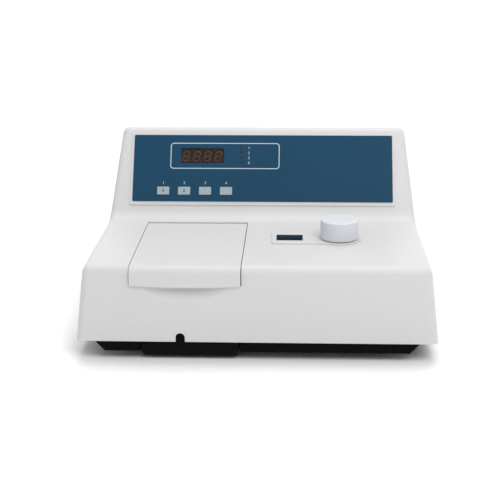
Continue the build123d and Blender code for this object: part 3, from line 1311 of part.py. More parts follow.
# Main board on four spacers, with its heat sink, capacitors and connectors
MAIN_X = (DETECTOR_X - 6.0, PAN_TOP_HALF - 26.0)
MAIN_Y = (DETECTOR_Y[1] + 8.0, REAR_Y - 36.0)
MAIN_Z = PAN_FLOOR_Z + 8.0
with BuildPart() as main_board:
    slab(MAIN_X, MAIN_Y, (MAIN_Z, MAIN_Z + BOARD_T), corner=1.0)
    board_mid = ((MAIN_X[0] + MAIN_X[1]) / 2, (MAIN_Y[0] + MAIN_Y[1]) / 2)
    with BuildSketch(Plane.XY.offset(PAN_FLOOR_Z)):
        with Locations(board_mid):
            with GridLocations(MAIN_X[1] - MAIN_X[0] - 8, MAIN_Y[1] - MAIN_Y[0] - 8, 2, 2):
                Circle(3.0)
    extrude(amount=MAIN_Z - PAN_FLOOR_Z)
    for fin in range(6):
        slab(
            (MAIN_X[0] + 6.0, MAIN_X[0] + 24.0),
            around(MAIN_Y[0] + 8.0 + 3.0 * fin, 1.2),
            (MAIN_Z + BOARD_T, MAIN_Z + 24.0),
        )
    slab(
        (MAIN_X[0] + 14.0, MAIN_X[0] + 16.0),
        (MAIN_Y[0] + 7.4, MAIN_Y[0] + 23.6),
        (MAIN_Z + BOARD_T, MAIN_Z + 24.0),
    )
    with BuildSketch(Plane.XY.offset(MAIN_Z + BOARD_T)):
        with Locations((board_mid[0] + 6.0, MAIN_Y[1] - 10.0)):
            with GridLocations(14.0, 0, 3, 1):
                Circle(5.0)
    extrude(amount=12.0)
    slab(around(board_mid[0] + 8.0, 34.0), around(board_mid[1], 12.0), (MAIN_Z + BOARD_T, MAIN_Z + 5.0))
save(main_board, "main_board")

# The mains transformer: laminated core, a wound bobbin through it, and mounting feet
CORE_X = 24.0
CORE_Y = REAR_Y - 58.0
CORE_W = 66.0
CORE_D = 32.0
CORE_H = 56.0
with BuildPart() as power_transformer:
    slab(around(CORE_X, CORE_W), around(CORE_Y, CORE_D), (PAN_FLOOR_Z, PAN_FLOOR_Z + CORE_H))
    slab(
        around(CORE_X, CORE_W - 22.0),
        around(CORE_Y, CORE_D + 26.0),
        (PAN_FLOOR_Z + 11.0, PAN_FLOOR_Z + CORE_H - 11.0),
        corner=6.0,
    )
    slab(around(CORE_X, CORE_W + 22.0), around(CORE_Y, 14.0), (PAN_FLOOR_Z, PAN_FLOOR_Z + 2.0), corner=4.0)
save(power_transformer, "power_transformer")

# The rear panel: a flat plate inside the cover's rear opening
PANEL_IN_Y = REAR_Y - WALL - REAR_PANEL_T
PANEL_OUT_Y = REAR_Y - WALL
INLET_W = 27.4
INLET_H = 20.0
INLET_T = 2.4
SWITCH_W = 20.0
SWITCH_H = 13.0
with BuildPart() as rear_panel:
    slab(
        around(0, REAR_PANEL_WIDTH),
        (PANEL_IN_Y, PANEL_OUT_Y),
        (FLANGE_TOP_Z, REAR_PANEL_TOP_Z),
    )
    # The fan's grille: rings of slots, held by four spokes
    with BuildSketch(facing_rear(PANEL_IN_Y - 1, LID_X, FAN_Z)) as grille:
        for ring_r in (FAN_R, FAN_R - 6.0, FAN_R - 12.0, FAN_R - 18.0):
            Circle(ring_r)
            Circle(ring_r - 4.0, mode=Mode.SUBTRACT)
        for spoke in range(2):
            Rectangle(2 * FAN_R + 2, 3.0, rotation=45 + 90 * spoke, mode=Mode.SUBTRACT)
    extrude(amount=REAR_PANEL_T + 2, mode=Mode.SUBTRACT)
    # Cut-outs for the mains inlet and the power switch
    through = (PANEL_IN_Y - 1, PANEL_OUT_Y + 1)
    slab(around(INLET_X, INLET_W), through, around(INLET_Z, INLET_H), mode=Mode.SUBTRACT)
    slab(around(INLET_X, SWITCH_W), through, around(SWITCH_Z, SWITCH_H), mode=Mode.SUBTRACT)
save(rear_panel, "rear_panel")

# The cooling fan: a square frame behind the grille, its hub held by three struts
FAN_BACK_Y = PANEL_IN_Y
FAN_FRONT_Y = FAN_BACK_Y - FAN_DEPTH
HUB_PLATE_T = 2.5
FAN_PIN_R = 2.0
with BuildPart() as fan_frame:
    with BuildSketch(facing_rear(FAN_FRONT_Y, LID_X, FAN_Z)):
        RectangleRounded(FAN_SIZE, FAN_SIZE, 4.0)
        Circle(FAN_R + 0.8, mode=Mode.SUBTRACT)
        with GridLocations(50.0, 50.0, 2, 2):
            Circle(2.2, mode=Mode.SUBTRACT)
    extrude(amount=FAN_DEPTH)
    with BuildSketch(facing_rear(FAN_FRONT_Y, LID_X, FAN_Z)):
        Circle(FAN_HUB_R)
        with PolarLocations((FAN_HUB_R + FAN_R) / 2, 3):
            Rectangle(FAN_R - FAN_HUB_R + 3.0, 3.0)
    extrude(amount=HUB_PLATE_T)
    rod(facing_rear(FAN_FRONT_Y + HUB_PLATE_T, LID_X, FAN_Z), FAN_PIN_R, 8.0)
save(fan_frame, "fan_frame")

# The fan's rotor: a cup over the frame's pin, with curved blades set at a pitch
ROTOR_Y = FAN_FRONT_Y + HUB_PLATE_T + SEAM
ROTOR_DEPTH = FAN_DEPTH - HUB_PLATE_T - 2 * SEAM
with BuildPart() as fan_rotor:
    rod(facing_rear(ROTOR_Y, LID_X, FAN_Z), FAN_HUB_R, ROTOR_DEPTH)
    for blade in range(FAN_BLADES):
        blade_turn = radians(360 / FAN_BLADES * blade)
        outward = Vector(cos(blade_turn), 0, sin(blade_turn))
        root = Vector(LID_X, ROTOR_Y + ROTOR_DEPTH / 2, FAN_Z) + outward * (FAN_HUB_R - 1.0)
        with BuildSketch(Plane(origin=root, x_dir=(0, 1, 0), z_dir=outward)):
            with BuildLine():
                ThreePointArc((-4.9, -4.2), (0.6, -0.8), (4.9, 4.6))
                Line((4.9, 4.6), (4.3, 5.3))
                ThreePointArc((4.3, 5.3), (-0.2, 0.2), (-4.9, -3.2))
                Line((-4.9, -3.2), (-4.9, -4.2))
            make_face()
        extrude(amount=FAN_R - FAN_HUB_R)
    rod(facing_rear(ROTOR_Y - 1, LID_X, FAN_Z), FAN_PIN_R + RUN, 9.0, mode=Mode.SUBTRACT)
save(fan_rotor, "fan_rotor")

# Mains inlet: a flanged socket with three blades, let into the rear panel
INLET_RIM = 2.0
INLET_DEPTH = 22.0
SOCKET_W = 24.2
SOCKET_H = 16.4
BLADE_ROOM = 16.0
with BuildPart() as mains_inlet:
    slab(
        around(INLET_X, INLET_W),
        (PANEL_OUT_Y - INLET_DEPTH, PANEL_OUT_Y),
        around(INLET_Z, INLET_H),
    )
    slab(
        around(INLET_X, INLET_W + 2 * INLET_RIM),
        (PANEL_OUT_Y, PANEL_OUT_Y + INLET_T),
        around(INLET_Z, INLET_H + 2 * INLET_RIM),
    )
    mouth = facing_rear(PANEL_OUT_Y + INLET_T, INLET_X, INLET_Z)
    with BuildSketch(mouth) as socket:
        Rectangle(SOCKET_W, SOCKET_H)
        chamfer(socket.vertices().group_by(Axis.Y)[0], 4.0)
    extrude(amount=-BLADE_ROOM, mode=Mode.SUBTRACT)
    with BuildSketch(mouth.offset(-BLADE_ROOM)):
        with Locations((-7.0, 2.0), (7.0, 2.0), (0, -2.2)):
            Rectangle(2.0, 4.0)
    extrude(amount=BLADE_ROOM - 2.0)
save(mains_inlet, "mains_inlet")

# Power switch: a snap-in frame and its rocker, which rocks about an upright cross pin
SWITCH_RIM = 1.2
ROCKER_HALF = 7.6
ROCKER_LIFT = 3.6
ROCKER_TILT = 9.0
ROCKER_PIN_R = 1.2
ROCKER_Y = PANEL_OUT_Y - 1.8
ROCKER_H = SWITCH_H - 2 * SWITCH_RIM - 2 * SEAT_GAP
with BuildPart() as power_switch:
    slab(around(INLET_X, SWITCH_W), (PANEL_OUT_Y - 16.0, PANEL_OUT_Y), around(SWITCH_Z, SWITCH_H))
    slab(
        around(INLET_X, SWITCH_W + 3.0),
        (PANEL_OUT_Y, PANEL_OUT_Y + 1.5),
        around(SWITCH_Z, SWITCH_H + 2.0),
    )
    slab(
        around(INLET_X, SWITCH_W - 2 * SWITCH_RIM),
        (ROCKER_Y - ROCKER_HALF - 1.0, PANEL_OUT_Y + 2),
        around(SWITCH_Z, SWITCH_H - 2 * SWITCH_RIM),
        mode=Mode.SUBTRACT,
    )
    rod(
        Plane(origin=(INLET_X, ROCKER_Y, SWITCH_Z - ROCKER_H / 2 - 1.3)),
        ROCKER_PIN_R + RUN,
        ROCKER_H + 2.6,
        mode=Mode.SUBTRACT,
    )
save(power_switch, "power_switch")
with BuildPart() as power_rocker:
    rest = Plane(origin=(INLET_X, ROCKER_Y, SWITCH_Z - ROCKER_H / 2)).rotated((0, 0, -ROCKER_TILT))
    with BuildSketch(rest):
        with BuildLine():
            Polyline(
                (-ROCKER_HALF, ROCKER_LIFT),
                (0, ROCKER_LIFT - 2.0),
                (ROCKER_HALF, ROCKER_LIFT),
                (ROCKER_HALF - 1.4, -4.0),
                (1.4 - ROCKER_HALF, -4.0),
                close=True,
            )
        make_face()
    extrude(amount=ROCKER_H)
    rod(
        Plane(origin=(INLET_X, ROCKER_Y, SWITCH_Z - ROCKER_H / 2 - 1.0)), ROCKER_PIN_R, ROCKER_H + 2.0
    )
save(power_rocker, "power_rocker")
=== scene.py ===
from math import cos, pi, radians, sin, tan

import bmesh
import bpy
from mathutils import Matrix, Vector


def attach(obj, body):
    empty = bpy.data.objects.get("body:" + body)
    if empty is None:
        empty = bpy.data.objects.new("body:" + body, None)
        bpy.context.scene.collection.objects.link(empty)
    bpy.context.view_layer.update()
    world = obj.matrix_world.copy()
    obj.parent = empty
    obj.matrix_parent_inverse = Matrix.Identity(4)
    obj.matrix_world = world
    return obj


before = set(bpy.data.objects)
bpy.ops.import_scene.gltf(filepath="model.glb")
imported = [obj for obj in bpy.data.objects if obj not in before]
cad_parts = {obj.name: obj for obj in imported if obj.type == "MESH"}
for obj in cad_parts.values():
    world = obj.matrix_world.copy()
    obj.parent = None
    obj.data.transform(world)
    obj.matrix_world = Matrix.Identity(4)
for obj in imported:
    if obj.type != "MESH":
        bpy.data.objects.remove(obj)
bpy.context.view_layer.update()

MM = 0.001

# The camera stands in front of the instrument, a little to the right of its middle and
# about 0.47 m above the bench, and looks down on it through a long lens.
CAMERA_AT = Vector((0.041, -1.2715, 0.467))
CAMERA_YAW = radians(-2.42)
CAMERA_PITCH = radians(17.18)
CAMERA_ROLL = radians(-0.28)
SENSOR_WIDTH = 36.0
FOCAL_LENGTH = 83.3

ahead = Vector((
    sin(CAMERA_YAW) * cos(CAMERA_PITCH),
    cos(CAMERA_YAW) * cos(CAMERA_PITCH),
    -sin(CAMERA_PITCH),
))
level = Vector((cos(CAMERA_YAW), -sin(CAMERA_YAW), 0.0))
upright = level.cross(ahead)
across = level * cos(CAMERA_ROLL) + upright * sin(CAMERA_ROLL)
upward = upright * cos(CAMERA_ROLL) - level * sin(CAMERA_ROLL)
lens = bpy.data.cameras.new("photo_camera")
lens.sensor_width = SENSOR_WIDTH
lens.lens = FOCAL_LENGTH
lens.clip_start = 0.05
camera = bpy.data.objects.new("photo_camera", lens)
camera.matrix_world = Matrix.Translation(CAMERA_AT) @ Matrix(
    (across, upward, -ahead)
).transposed().to_4x4()
bpy.context.scene.collection.objects.link(camera)
bpy.context.scene.camera = camera
bpy.context.scene.view_settings.view_transform = "Standard"

# The studio: a seamless white sweep, a large soft light in front and to the right, a weak
# one on the left, a third above and behind, and a bright room all round.


def linear(code):
    """An sRGB hex colour as Blender's linear colour."""
    parts = [int(code[k:k + 2], 16) / 255 for k in (0, 2, 4)]
    return tuple(
        c / 12.92 if c <= 0.04045 else ((c + 0.055) / 1.055) ** 2.4 for c in parts
    ) + (1.0,)


def add_node(tree, kind, inputs=None, **settings):
    """Adds a shader node, makes its settings, and fills or links its inputs."""
    made = tree.nodes.new(kind)
    for name, value in settings.items():
        setattr(made, name, value)
    for socket, value in (inputs or {}).items():
        if isinstance(value, bpy.types.NodeSocket):
            tree.links.new(value, made.inputs[socket])
        else:
            made.inputs[socket].default_value = value
    return made


def new_finish(name):
    """A material without nodes, its node tree, and the surface's object coordinates."""
    material = bpy.data.materials.new(name)
    material.use_nodes = True
    tree = material.node_tree
    tree.nodes.clear()
    return material, tree, add_node(tree, "ShaderNodeTexCoord").outputs["Object"]


def two_tones(tree, factor, colour, shade):
    """A mix of two hex colours by a factor."""
    mix = add_node(tree, "ShaderNodeMix", {
        0: factor, 6: linear(colour), 7: linear(shade),
    }, data_type="RGBA")
    return mix.outputs[2]


def close_finish(tree, inputs):
    """Gives a material its principled shader, with these inputs."""
    body = add_node(tree, "ShaderNodeBsdfPrincipled", inputs)
    add_node(tree, "ShaderNodeOutputMaterial", {"Surface": body.outputs["BSDF"]})


def place_mesh(name, mesh_maker, material):
    """Makes an object from the geometry that mesh_maker puts in a bmesh."""
    work = bmesh.new()
    mesh_maker(work)
    bmesh.ops.recalc_face_normals(work, faces=work.faces)
    mesh = bpy.data.meshes.new(name)
    work.to_mesh(mesh)
    work.free()
    made = bpy.data.objects.new(name, mesh)
    mesh.materials.append(material)
    bpy.context.scene.collection.objects.link(made)
    return made


# The paper glows a little from GLOW_NEAR outwards, so that it stays white where the
# lights fall off. Under the instrument it has no glow, and the shadow stays.
SWEEP_HALF = 3.0
SWEEP_BACK = 1.6
SWEEP_BEND = 0.8
SWEEP_STEPS = 12
GLOW_NEAR = 0.4
GLOW_FAR = 1.1
GLOW_MOST = 0.3

sweep_paper, tree, where = new_finish("white_background_paper")
mottle = add_node(tree, "ShaderNodeTexNoise", {"Vector": where, "Scale": 1.5, "Detail": 2.0})
reach = add_node(tree, "ShaderNodeVectorMath", {0: where}, operation="LENGTH")
lift = add_node(tree, "ShaderNodeMapRange", {
    "Value": reach.outputs["Value"], "From Min": GLOW_NEAR, "From Max": GLOW_FAR,
    "To Min": 0.0, "To Max": GLOW_MOST,
})
close_finish(tree, {
    "Base Color": two_tones(tree, mottle.outputs["Fac"], "FAFAFA", "FDFDFD"), "Roughness": 0.9,
    "Emission Color": (1.0, 1.0, 1.0, 1.0), "Emission Strength": lift.outputs["Result"],
})


def sweep_sheet(work):
    """A floor that bends up into a back wall far behind the instrument."""
    profile = [(-SWEEP_HALF, 0.0), (SWEEP_BACK, 0.0)]
    for step in range(1, SWEEP_STEPS + 1):
        turn = step / SWEEP_STEPS * pi / 2
        profile.append((SWEEP_BACK + SWEEP_BEND * sin(turn), SWEEP_BEND * (1 - cos(turn))))
    profile.append((SWEEP_BACK + SWEEP_BEND, SWEEP_HALF))
    rows = [
        [work.verts.new((side * SWEEP_HALF, y, z)) for y, z in profile] for side in (-1, 1)
    ]
    for k in range(len(profile) - 1):
        work.faces.new((rows[0][k], rows[1][k], rows[1][k + 1], rows[0][k + 1]))


sweep = place_mesh("studio_sweep", sweep_sheet, sweep_paper)
sweep.data.shade_smooth()

LIGHT_AIM = Vector((0, 0, 0.1))
ROOM_STRENGTH = 0.5

for light_name, place, size, power in (
    ("soft_key", (0.75, -1.35, 1.75), 1.3, 24.0),
    ("soft_fill", (-1.6, -0.9, 1.0), 1.4, 3.0),
    ("soft_top", (0.1, 0.6, 2.1), 1.5, 24.0),
):
    lamp_data = bpy.data.lights.new(light_name, "AREA")
    lamp_data.shape = "SQUARE"
    lamp_data.size = size
    lamp_data.energy = power
    light = bpy.data.objects.new(light_name, lamp_data)
    light.location = place
    light.rotation_euler = (LIGHT_AIM - Vector(place)).to_track_quat("-Z", "Y").to_euler()
    bpy.context.scene.collection.objects.link(light)

room = bpy.data.worlds.new("bright_room")
room.use_nodes = True
room.node_tree.nodes.clear()
glow = add_node(room.node_tree, "ShaderNodeBackground", {
    "Color": (0.97, 0.985, 1.0, 1.0), "Strength": ROOM_STRENGTH,
})
add_node(room.node_tree, "ShaderNodeOutputWorld", {"Surface": glow.outputs["Background"]})
bpy.context.scene.world = room

# The top cover is a large ABS moulding. Its tool was spark-eroded, which leaves a fine
# grain and a satin sheen, and the whole part is one warm light grey.
PLASTIC_SPECULAR = 0.28


def patches(tree, where, size_mm, detail, roughness=0.5):
    """A noise pattern from 0 to 1, with patches of about this size."""
    noise = add_node(tree, "ShaderNodeTexNoise", {
        "Vector": where, "Scale": 1 / (size_mm * MM), "Detail": detail, "Roughness": roughness,
    })
    return noise.outputs["Fac"]


def between(tree, pattern, low, high):
    """A pattern from 0 to 1, spread from low to high."""
    spread = add_node(tree, "ShaderNodeMapRange", {"Value": pattern, "To Min": low, "To Max": high})
    return spread.outputs["Result"]


def relief(tree, pattern, strength, depth_mm):
    """The normal of a surface with this pattern as its relief."""
    bump = add_node(tree, "ShaderNodeBump", {
        "Height": pattern, "Strength": strength, "Distance": depth_mm * MM,
    })
    return bump.outputs["Normal"]


def moulded_plastic(name, colour, shade, grain_mm, depth_mm, roughness):
    """Moulded plastic: an even colour with slow changes of tone, and the tool's fine grain."""
    material, tree, where = new_finish(name)
    grain = patches(tree, where, grain_mm, 3.0, roughness=0.6)
    close_finish(tree, {
        "Base Color": two_tones(tree, patches(tree, where, 70, 2.0), colour, shade),
        "Roughness": between(tree, grain, roughness - 0.05, roughness + 0.05),
        "Specular IOR Level": PLASTIC_SPECULAR, "Normal": relief(tree, grain, 0.5, depth_mm),
    })
    return material


def dress(material, *names):
    """Gives CAD nodes their material."""
    for name in names:
        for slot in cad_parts[name].material_slots:
            slot.material = material


cover_abs = moulded_plastic("spark_grained_ABS", "CDCCCB", "C9C8C8", 0.45, 0.03, 0.42)
dress(cover_abs, "top_cover", "lid_hinge_brackets")

# The sample lid is moulded from the same ABS in the same grain. It turns on two ground
# steel pins that are pressed into its rear knuckle.
lid_abs = moulded_plastic("spark_grained_ABS_lid", "CDCBCA", "C9C7C7", 0.45, 0.03, 0.42)
dress(lid_abs, "sample_lid")


def worked_metal(name, colour, roughness, line_mm, stretch, depth_mm):
    """Bare metal with the fine lines of its grinding, turning or rolling, drawn out along
    one direction by stretch."""
    material, tree, where = new_finish(name)
    drawn = add_node(tree, "ShaderNodeMapping", {"Vector": where, "Scale": stretch})
    lines = patches(tree, drawn.outputs["Vector"], line_mm, 2.0)
    close_finish(tree, {
        "Base Color": linear(colour), "Metallic": 1.0,
        "Roughness": between(tree, lines, roughness - 0.07, roughness + 0.07),
        "Normal": relief(tree, lines, 0.6, depth_mm),
    })
    return material


ground_steel = worked_metal("ground_steel", "C9CACC", 0.28, 0.4, (0.1, 1.0, 1.0), 0.01)
dress(ground_steel, "lid_hinge_pins", "cuvette_spring", "drive_screw", "guide_rod", "knob_shaft")

# The display overlay is a polyester film, printed on its back in blue with pale lines,
# and bonded to the platform of the sloping head. Its face has a fine velvet texture.
HEAD_FOOT = Vector((0.0, 25.5, 103.2)) * MM
HEAD_LEAN = radians(31.15)
HEAD_UP = Vector((0.0, sin(HEAD_LEAN), cos(HEAD_LEAN)))
HEAD_OUT = Vector((0.0, -cos(HEAD_LEAN), sin(HEAD_LEAN)))
OVERLAY_FACE = 2.0
PRINT_T = 0.04
FILM_SPECULAR = 0.07


def on_head(x, up, out):
    """A point in front of the sloping head, from millimetres across, up and out of it."""
    return Vector((x * MM, 0, 0)) + HEAD_FOOT + HEAD_UP * (up * MM) + HEAD_OUT * (out * MM)


def printed_film(name, colour, shade):
    """Polyester film over solid ink: a deep even colour under a velvet face."""
    material, tree, where = new_finish(name)
    velvet = patches(tree, where, 0.3, 2.0)
    close_finish(tree, {
        "Base Color": two_tones(tree, patches(tree, where, 90, 1.0), colour, shade),
        "Roughness": 0.5, "Specular IOR Level": FILM_SPECULAR,
        "Normal": relief(tree, velvet, 0.35, 0.02),
    })
    return material


blue_film = printed_film("blue_backprinted_polyester", "1B4059", "20465F")
pale_ink = printed_film("pale_screen_ink", "C3D3DC", "B9CAD4")
dress(blue_film, "display_overlay")

FRAME_X = (-108.3, 19.5)
FRAME_UP = (61.2, 92.3)
FRAME_R = 3.5
FRAME_LINE = 0.9
CORNER_STEPS = 8


def rounded_outline(grow):
    """Points round the frame with rounded corners, counter-clockwise, grown on all sides."""
    radius = FRAME_R + grow
    left = FRAME_X[0] - grow + radius
    right = FRAME_X[1] + grow - radius
    low = FRAME_UP[0] - grow + radius
    high = FRAME_UP[1] + grow - radius
    points = []
    for k, (cx, cy) in enumerate(((right, high), (left, high), (left, low), (right, low))):
        for step in range(CORNER_STEPS + 1):
            turn = (k + step / CORNER_STEPS) * pi / 2
            points.append((cx + radius * cos(turn), cy + radius * sin(turn)))
    return points


def printed_frame(work):
    """A closed line, just under a millimetre wide, round the window and the lamps."""
    outer = rounded_outline(FRAME_LINE / 2)
    inner = rounded_outline(-FRAME_LINE / 2)
    rings = [
        [work.verts.new(on_head(x, up, out)) for x, up in outline]
        for outline, out in (
            (outer, OVERLAY_FACE), (outer, OVERLAY_FACE + PRINT_T),
            (inner, OVERLAY_FACE + PRINT_T), (inner, OVERLAY_FACE),
        )
    ]
    count = len(outer)
    for k in range(count):
        n = (k + 1) % count
        for a, b in ((0, 1), (1, 2), (2, 3), (3, 0)):
            work.faces.new((rings[a][k], rings[a][n], rings[b][n], rings[b][k]))


frame_line = place_mesh("printed_frame_line", printed_frame, pale_ink)
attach(frame_line, "base")


def figures(work, text, size_mm, thickness_mm):
    """Adds the outline letters of a text to a bmesh, flat, centred and with a thickness."""
    words = bpy.data.curves.new("figures", "FONT")
    words.body = text
    words.size = size_mm * MM
    words.align_x = "CENTER"
    words.align_y = "CENTER"
    words.extrude = thickness_mm * MM / 2
    words.resolution_u = 3
    holder = bpy.data.objects.new("figures", words)
    bpy.context.scene.collection.objects.link(holder)
    bpy.context.view_layer.update()
    solid_text = holder.evaluated_get(bpy.context.evaluated_depsgraph_get())
    flat = bpy.data.meshes.new_from_object(solid_text)
    first = len(work.verts)
    work.from_mesh(flat)
    work.verts.ensure_lookup_table()
    bpy.data.objects.remove(holder)
    bpy.data.curves.remove(words)
    bpy.data.meshes.remove(flat)
    return [work.verts[k] for k in range(first, len(work.verts))]


KEY_X = [-116.1, -91.5, -66.9, -42.3]
KEY_UP = 33.5
KEY_LEGEND_UP = 43.2
LAMP_LEGEND_X = -16.2
LAMP_UP = [86.7, 80.5, 74.3, 68.1]
LEGEND_H = 4.6


def printed_numbers(work):
    """Plain numbers above the keys and beside the lamps."""
    places = [(str(k + 1), x, KEY_LEGEND_UP) for k, x in enumerate(KEY_X)]
    places += [(str(k + 1), LAMP_LEGEND_X, up) for k, up in enumerate(LAMP_UP)]
    for text, x, up in places:
        for vert in figures(work, text, LEGEND_H, PRINT_T):
            out = OVERLAY_FACE + PRINT_T / 2 + vert.co.z / MM
            vert.co = on_head(x + vert.co.x / MM, up + vert.co.y / MM, out)


numbers = place_mesh("printed_numbers", printed_numbers, pale_ink)
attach(numbers, "base")

# The window over the digits is a piece of smoked acrylic, flat and polished, which
# darkens the module behind it.
ACRYLIC_IOR = 1.49
ACRYLIC_HAZE = 12
GLASS_IOR = 1.5
GLASS_HAZE = 6


def clear_solid(name, colour, ior, haze_mm, low, high):
    """Clear or tinted acrylic or glass, whose polish runs from low to high roughness."""
    material, tree, where = new_finish(name)
    close_finish(tree, {
        "Base Color": linear(colour), "IOR": ior, "Transmission Weight": 1.0,
        "Roughness": between(tree, patches(tree, where, haze_mm, 1.0), low, high),
    })
    return material


smoked = clear_solid("smoked_acrylic", "B4A294", ACRYLIC_IOR, ACRYLIC_HAZE, 0.04, 0.1)
dress(smoked, "display_window")

# The digit module is a potted block with four digits of seven slanted bars. Unlit, the
# bars are a pale amber in a dark brown face, and the window darkens both.
module_face = moulded_plastic("brown_potting_resin", "33251D", "38291F", 0.8, 0.02, 0.5)
dress(module_face, "digit_display")
unlit_bar = moulded_plastic("unlit_amber_bar", "EBAA84", "E0A07B", 0.5, 0.01, 0.4)
WINDOW_X = -70.8
WINDOW_UP = 77.0
MODULE_FACE = -1.0
DIGITS = 4
DIGIT_PITCH = 12.7
DIGIT_SHIFT = -0.6
DIGIT_H = 12.6
DIGIT_W = 6.6
BAR_T = 1.35
BAR_GAP = 0.25
BAR_RISE = 0.15
SLANT = tan(radians(9))
DOT_R = 0.8
DOT_SIDES = 12
DOT_OFFSET = 2.1


def thin_plate(work, outline, low_out, high_out):
    """A thin solid plate in front of the head, between two distances out of it."""
    low, high = (
        [work.verts.new(on_head(x, up, out)) for x, up in outline] for out in (low_out, high_out)
    )
    work.faces.new(high)
    work.faces.new(low[::-1])
    for k in range(len(low)):
        n = (k + 1) % len(low)
        work.faces.new((low[k], low[n], high[n], high[k]))


def digit_bars(work):
    """Seven bars and a dot for each digit, each a thin solid plate."""
    half_h = DIGIT_H / 2 - BAR_T / 2
    half_w = DIGIT_W / 2
    t = BAR_T / 2
    bars = [(0, up, half_w - BAR_GAP, True) for up in (-half_h, 0, half_h)]
    bars += [
        (side * half_w, up, half_h / 2 - BAR_GAP, False)
        for side in (-1, 1) for up in (-half_h / 2, half_h / 2)
    ]
    outlines = []
    for cx, cy, end, lying in bars:
        shape = [(-end, 0), (t - end, t), (end - t, t), (end, 0), (end - t, -t), (t - end, -t)]
        outlines.append([(cx + u, cy + v) if lying else (cx + v, cy + u) for u, v in shape])
    dot = []
    for k in range(DOT_SIDES):
        turn = k * 2 * pi / DOT_SIDES
        dot.append((half_w + DOT_OFFSET + DOT_R * cos(turn), -half_h - t / 2 + DOT_R * sin(turn)))
    outlines.append(dot)
    for digit in range(DIGITS):
        middle = WINDOW_X + (digit - (DIGITS - 1) / 2) * DIGIT_PITCH + DIGIT_SHIFT
        for outline in outlines:
            slanted = [(middle + x + y * SLANT, WINDOW_UP + y) for x, y in outline]
            thin_plate(work, slanted, MODULE_FACE, MODULE_FACE + BAR_RISE)


bars = place_mesh("digit_bars", digit_bars, unlit_bar)
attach(bars, "base")

# The indicator lamps are small tinted epoxy domes, dull while they are off.
tinted_epoxy, tree, where = new_finish("tinted_epoxy")
close_finish(tree, {
    "Base Color": two_tones(tree, patches(tree, where, 1.5, 1.0), "6B4B45", "5C403D"),
    "Roughness": 0.2, "IOR": 1.52, "Transmission Weight": 0.3,
})
dress(tinted_epoxy, "indicator_leds")

# Four keys of blue-grey moulded plastic stand in the overlay. Two carry a printed arrow
# and two are plain. Their switches are small black bodies on the board behind.
key_plastic = moulded_plastic("pale_grey_key_plastic", "98A7AD", "94A3A8", 0.35, 0.02, 0.45)
dress(key_plastic, "key_1", "key_2", "key_3", "key_4")
black_plastic = moulded_plastic("black_moulded_nylon", "161617", "1B1B1C", 0.4, 0.02, 0.5)
dress(black_plastic, "key_switches", "counter_frame", "fan_frame", "fan_rotor")
dark_ink = printed_film("dark_screen_ink", "23313C", "283640")
KEY_FACE = 2.9
ARROW_LONG = 4.4
ARROW_HEAD = 2.6
ARROW_BARB = ARROW_HEAD * 0.8
ARROW_STEM = 0.8

for number, upwards in ((1, 1), (2, -1)):
    def printed_arrow(work, number=number, upwards=upwards):
        """An arrow with a triangular head, as a thin plate of ink."""
        half = ARROW_LONG / 2
        neck = half - ARROW_BARB
        shape = [
            (0, half), (-ARROW_HEAD / 2, neck), (-ARROW_STEM / 2, neck), (-ARROW_STEM / 2, -half),
            (ARROW_STEM / 2, -half), (ARROW_STEM / 2, neck), (ARROW_HEAD / 2, neck),
        ]
        outline = [(KEY_X[number - 1] + x, KEY_UP + upwards * y) for x, y in shape]
        thin_plate(work, outline, KEY_FACE, KEY_FACE + PRINT_T)

    arrow = place_mesh(f"key_{number}_arrow", printed_arrow, dark_ink)
    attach(arrow, f"key_{number}_body")

# The display board and the main board are glass epoxy under green solder mask. Copper
# tracks show through the mask as slightly raised, lighter lines.


def solder_mask(name, colour, track):
    """Glass epoxy board: tracks on a grid of 5 by 2.5 mm under green mask."""
    material, tree, where = new_finish(name)
    routes = add_node(tree, "ShaderNodeTexBrick", {
        "Vector": where, "Scale": 1 / (10 * MM), "Mortar Size": 0.04, "Brick Width": 0.5,
        "Row Height": 0.25, "Color1": linear(colour), "Color2": linear(colour),
        "Mortar": linear(track),
    })
    close_finish(tree, {
        "Base Color": routes.outputs["Color"], "Roughness": 0.35, "IOR": 1.55,
        "Normal": relief(tree, routes.outputs["Fac"], 0.5, 0.05),
    })
    return material


green_board = solder_mask("green_solder_mask", "14532F", "1E6B3E")
dress(green_board, "display_board", "main_board")
turned_brass = worked_metal("turned_brass", "C9A765", 0.3, 0.5, (1.0, 1.0, 0.15), 0.01)
dress(turned_brass, "display_spacers", "knob_gear", "screw_gear", "screw_carriage")

# The wavelength knob is a ribbed moulding in a whiter, slightly glossier plastic than
# the cover, pressed on the shaft of the drive.
knob_plastic = moulded_plastic("white_knob_ABS", "D4D5DB", "D0D1D8", 0.4, 0.02, 0.36)
dress(knob_plastic, "wavelength_knob")

# The drive under the deck: an aluminium arch over the brass mitre gears, and a milled
# arm that the carriage pushes.
milled_aluminium = worked_metal("milled_aluminium", "C6C8CB", 0.32, 0.6, (1.0, 0.12, 1.0), 0.015)
dress(milled_aluminium, "gear_bracket", "sine_arm")

# The counter: three black number drums under a smoked pane. The numbers are printed in
# white on the rim of each drum, and it reads five hundred at rest.
drum_plastic = moulded_plastic("black_drum_acetal", "1A1B1D", "202123", 0.4, 0.01, 0.4)
dress(drum_plastic, "drum_hundreds", "drum_tens", "drum_units")
white_ink = printed_film("white_screen_ink", "D8DAD8", "D0D3D2")
DRUM_AXIS = Vector((33.1, -53.0, 81.0))
DRUM_R = 9.0
DRUM_PITCH = 6.0
DRUM_NUMBERS = 10
DRUM_STEP = pi / 5
NUMBER_H = 4.6
RIM_INK_T = 0.03
RIM_INK_LIFT = 0.02
CUT_PITCH = 0.4
CUTS_EACH_WAY = 5


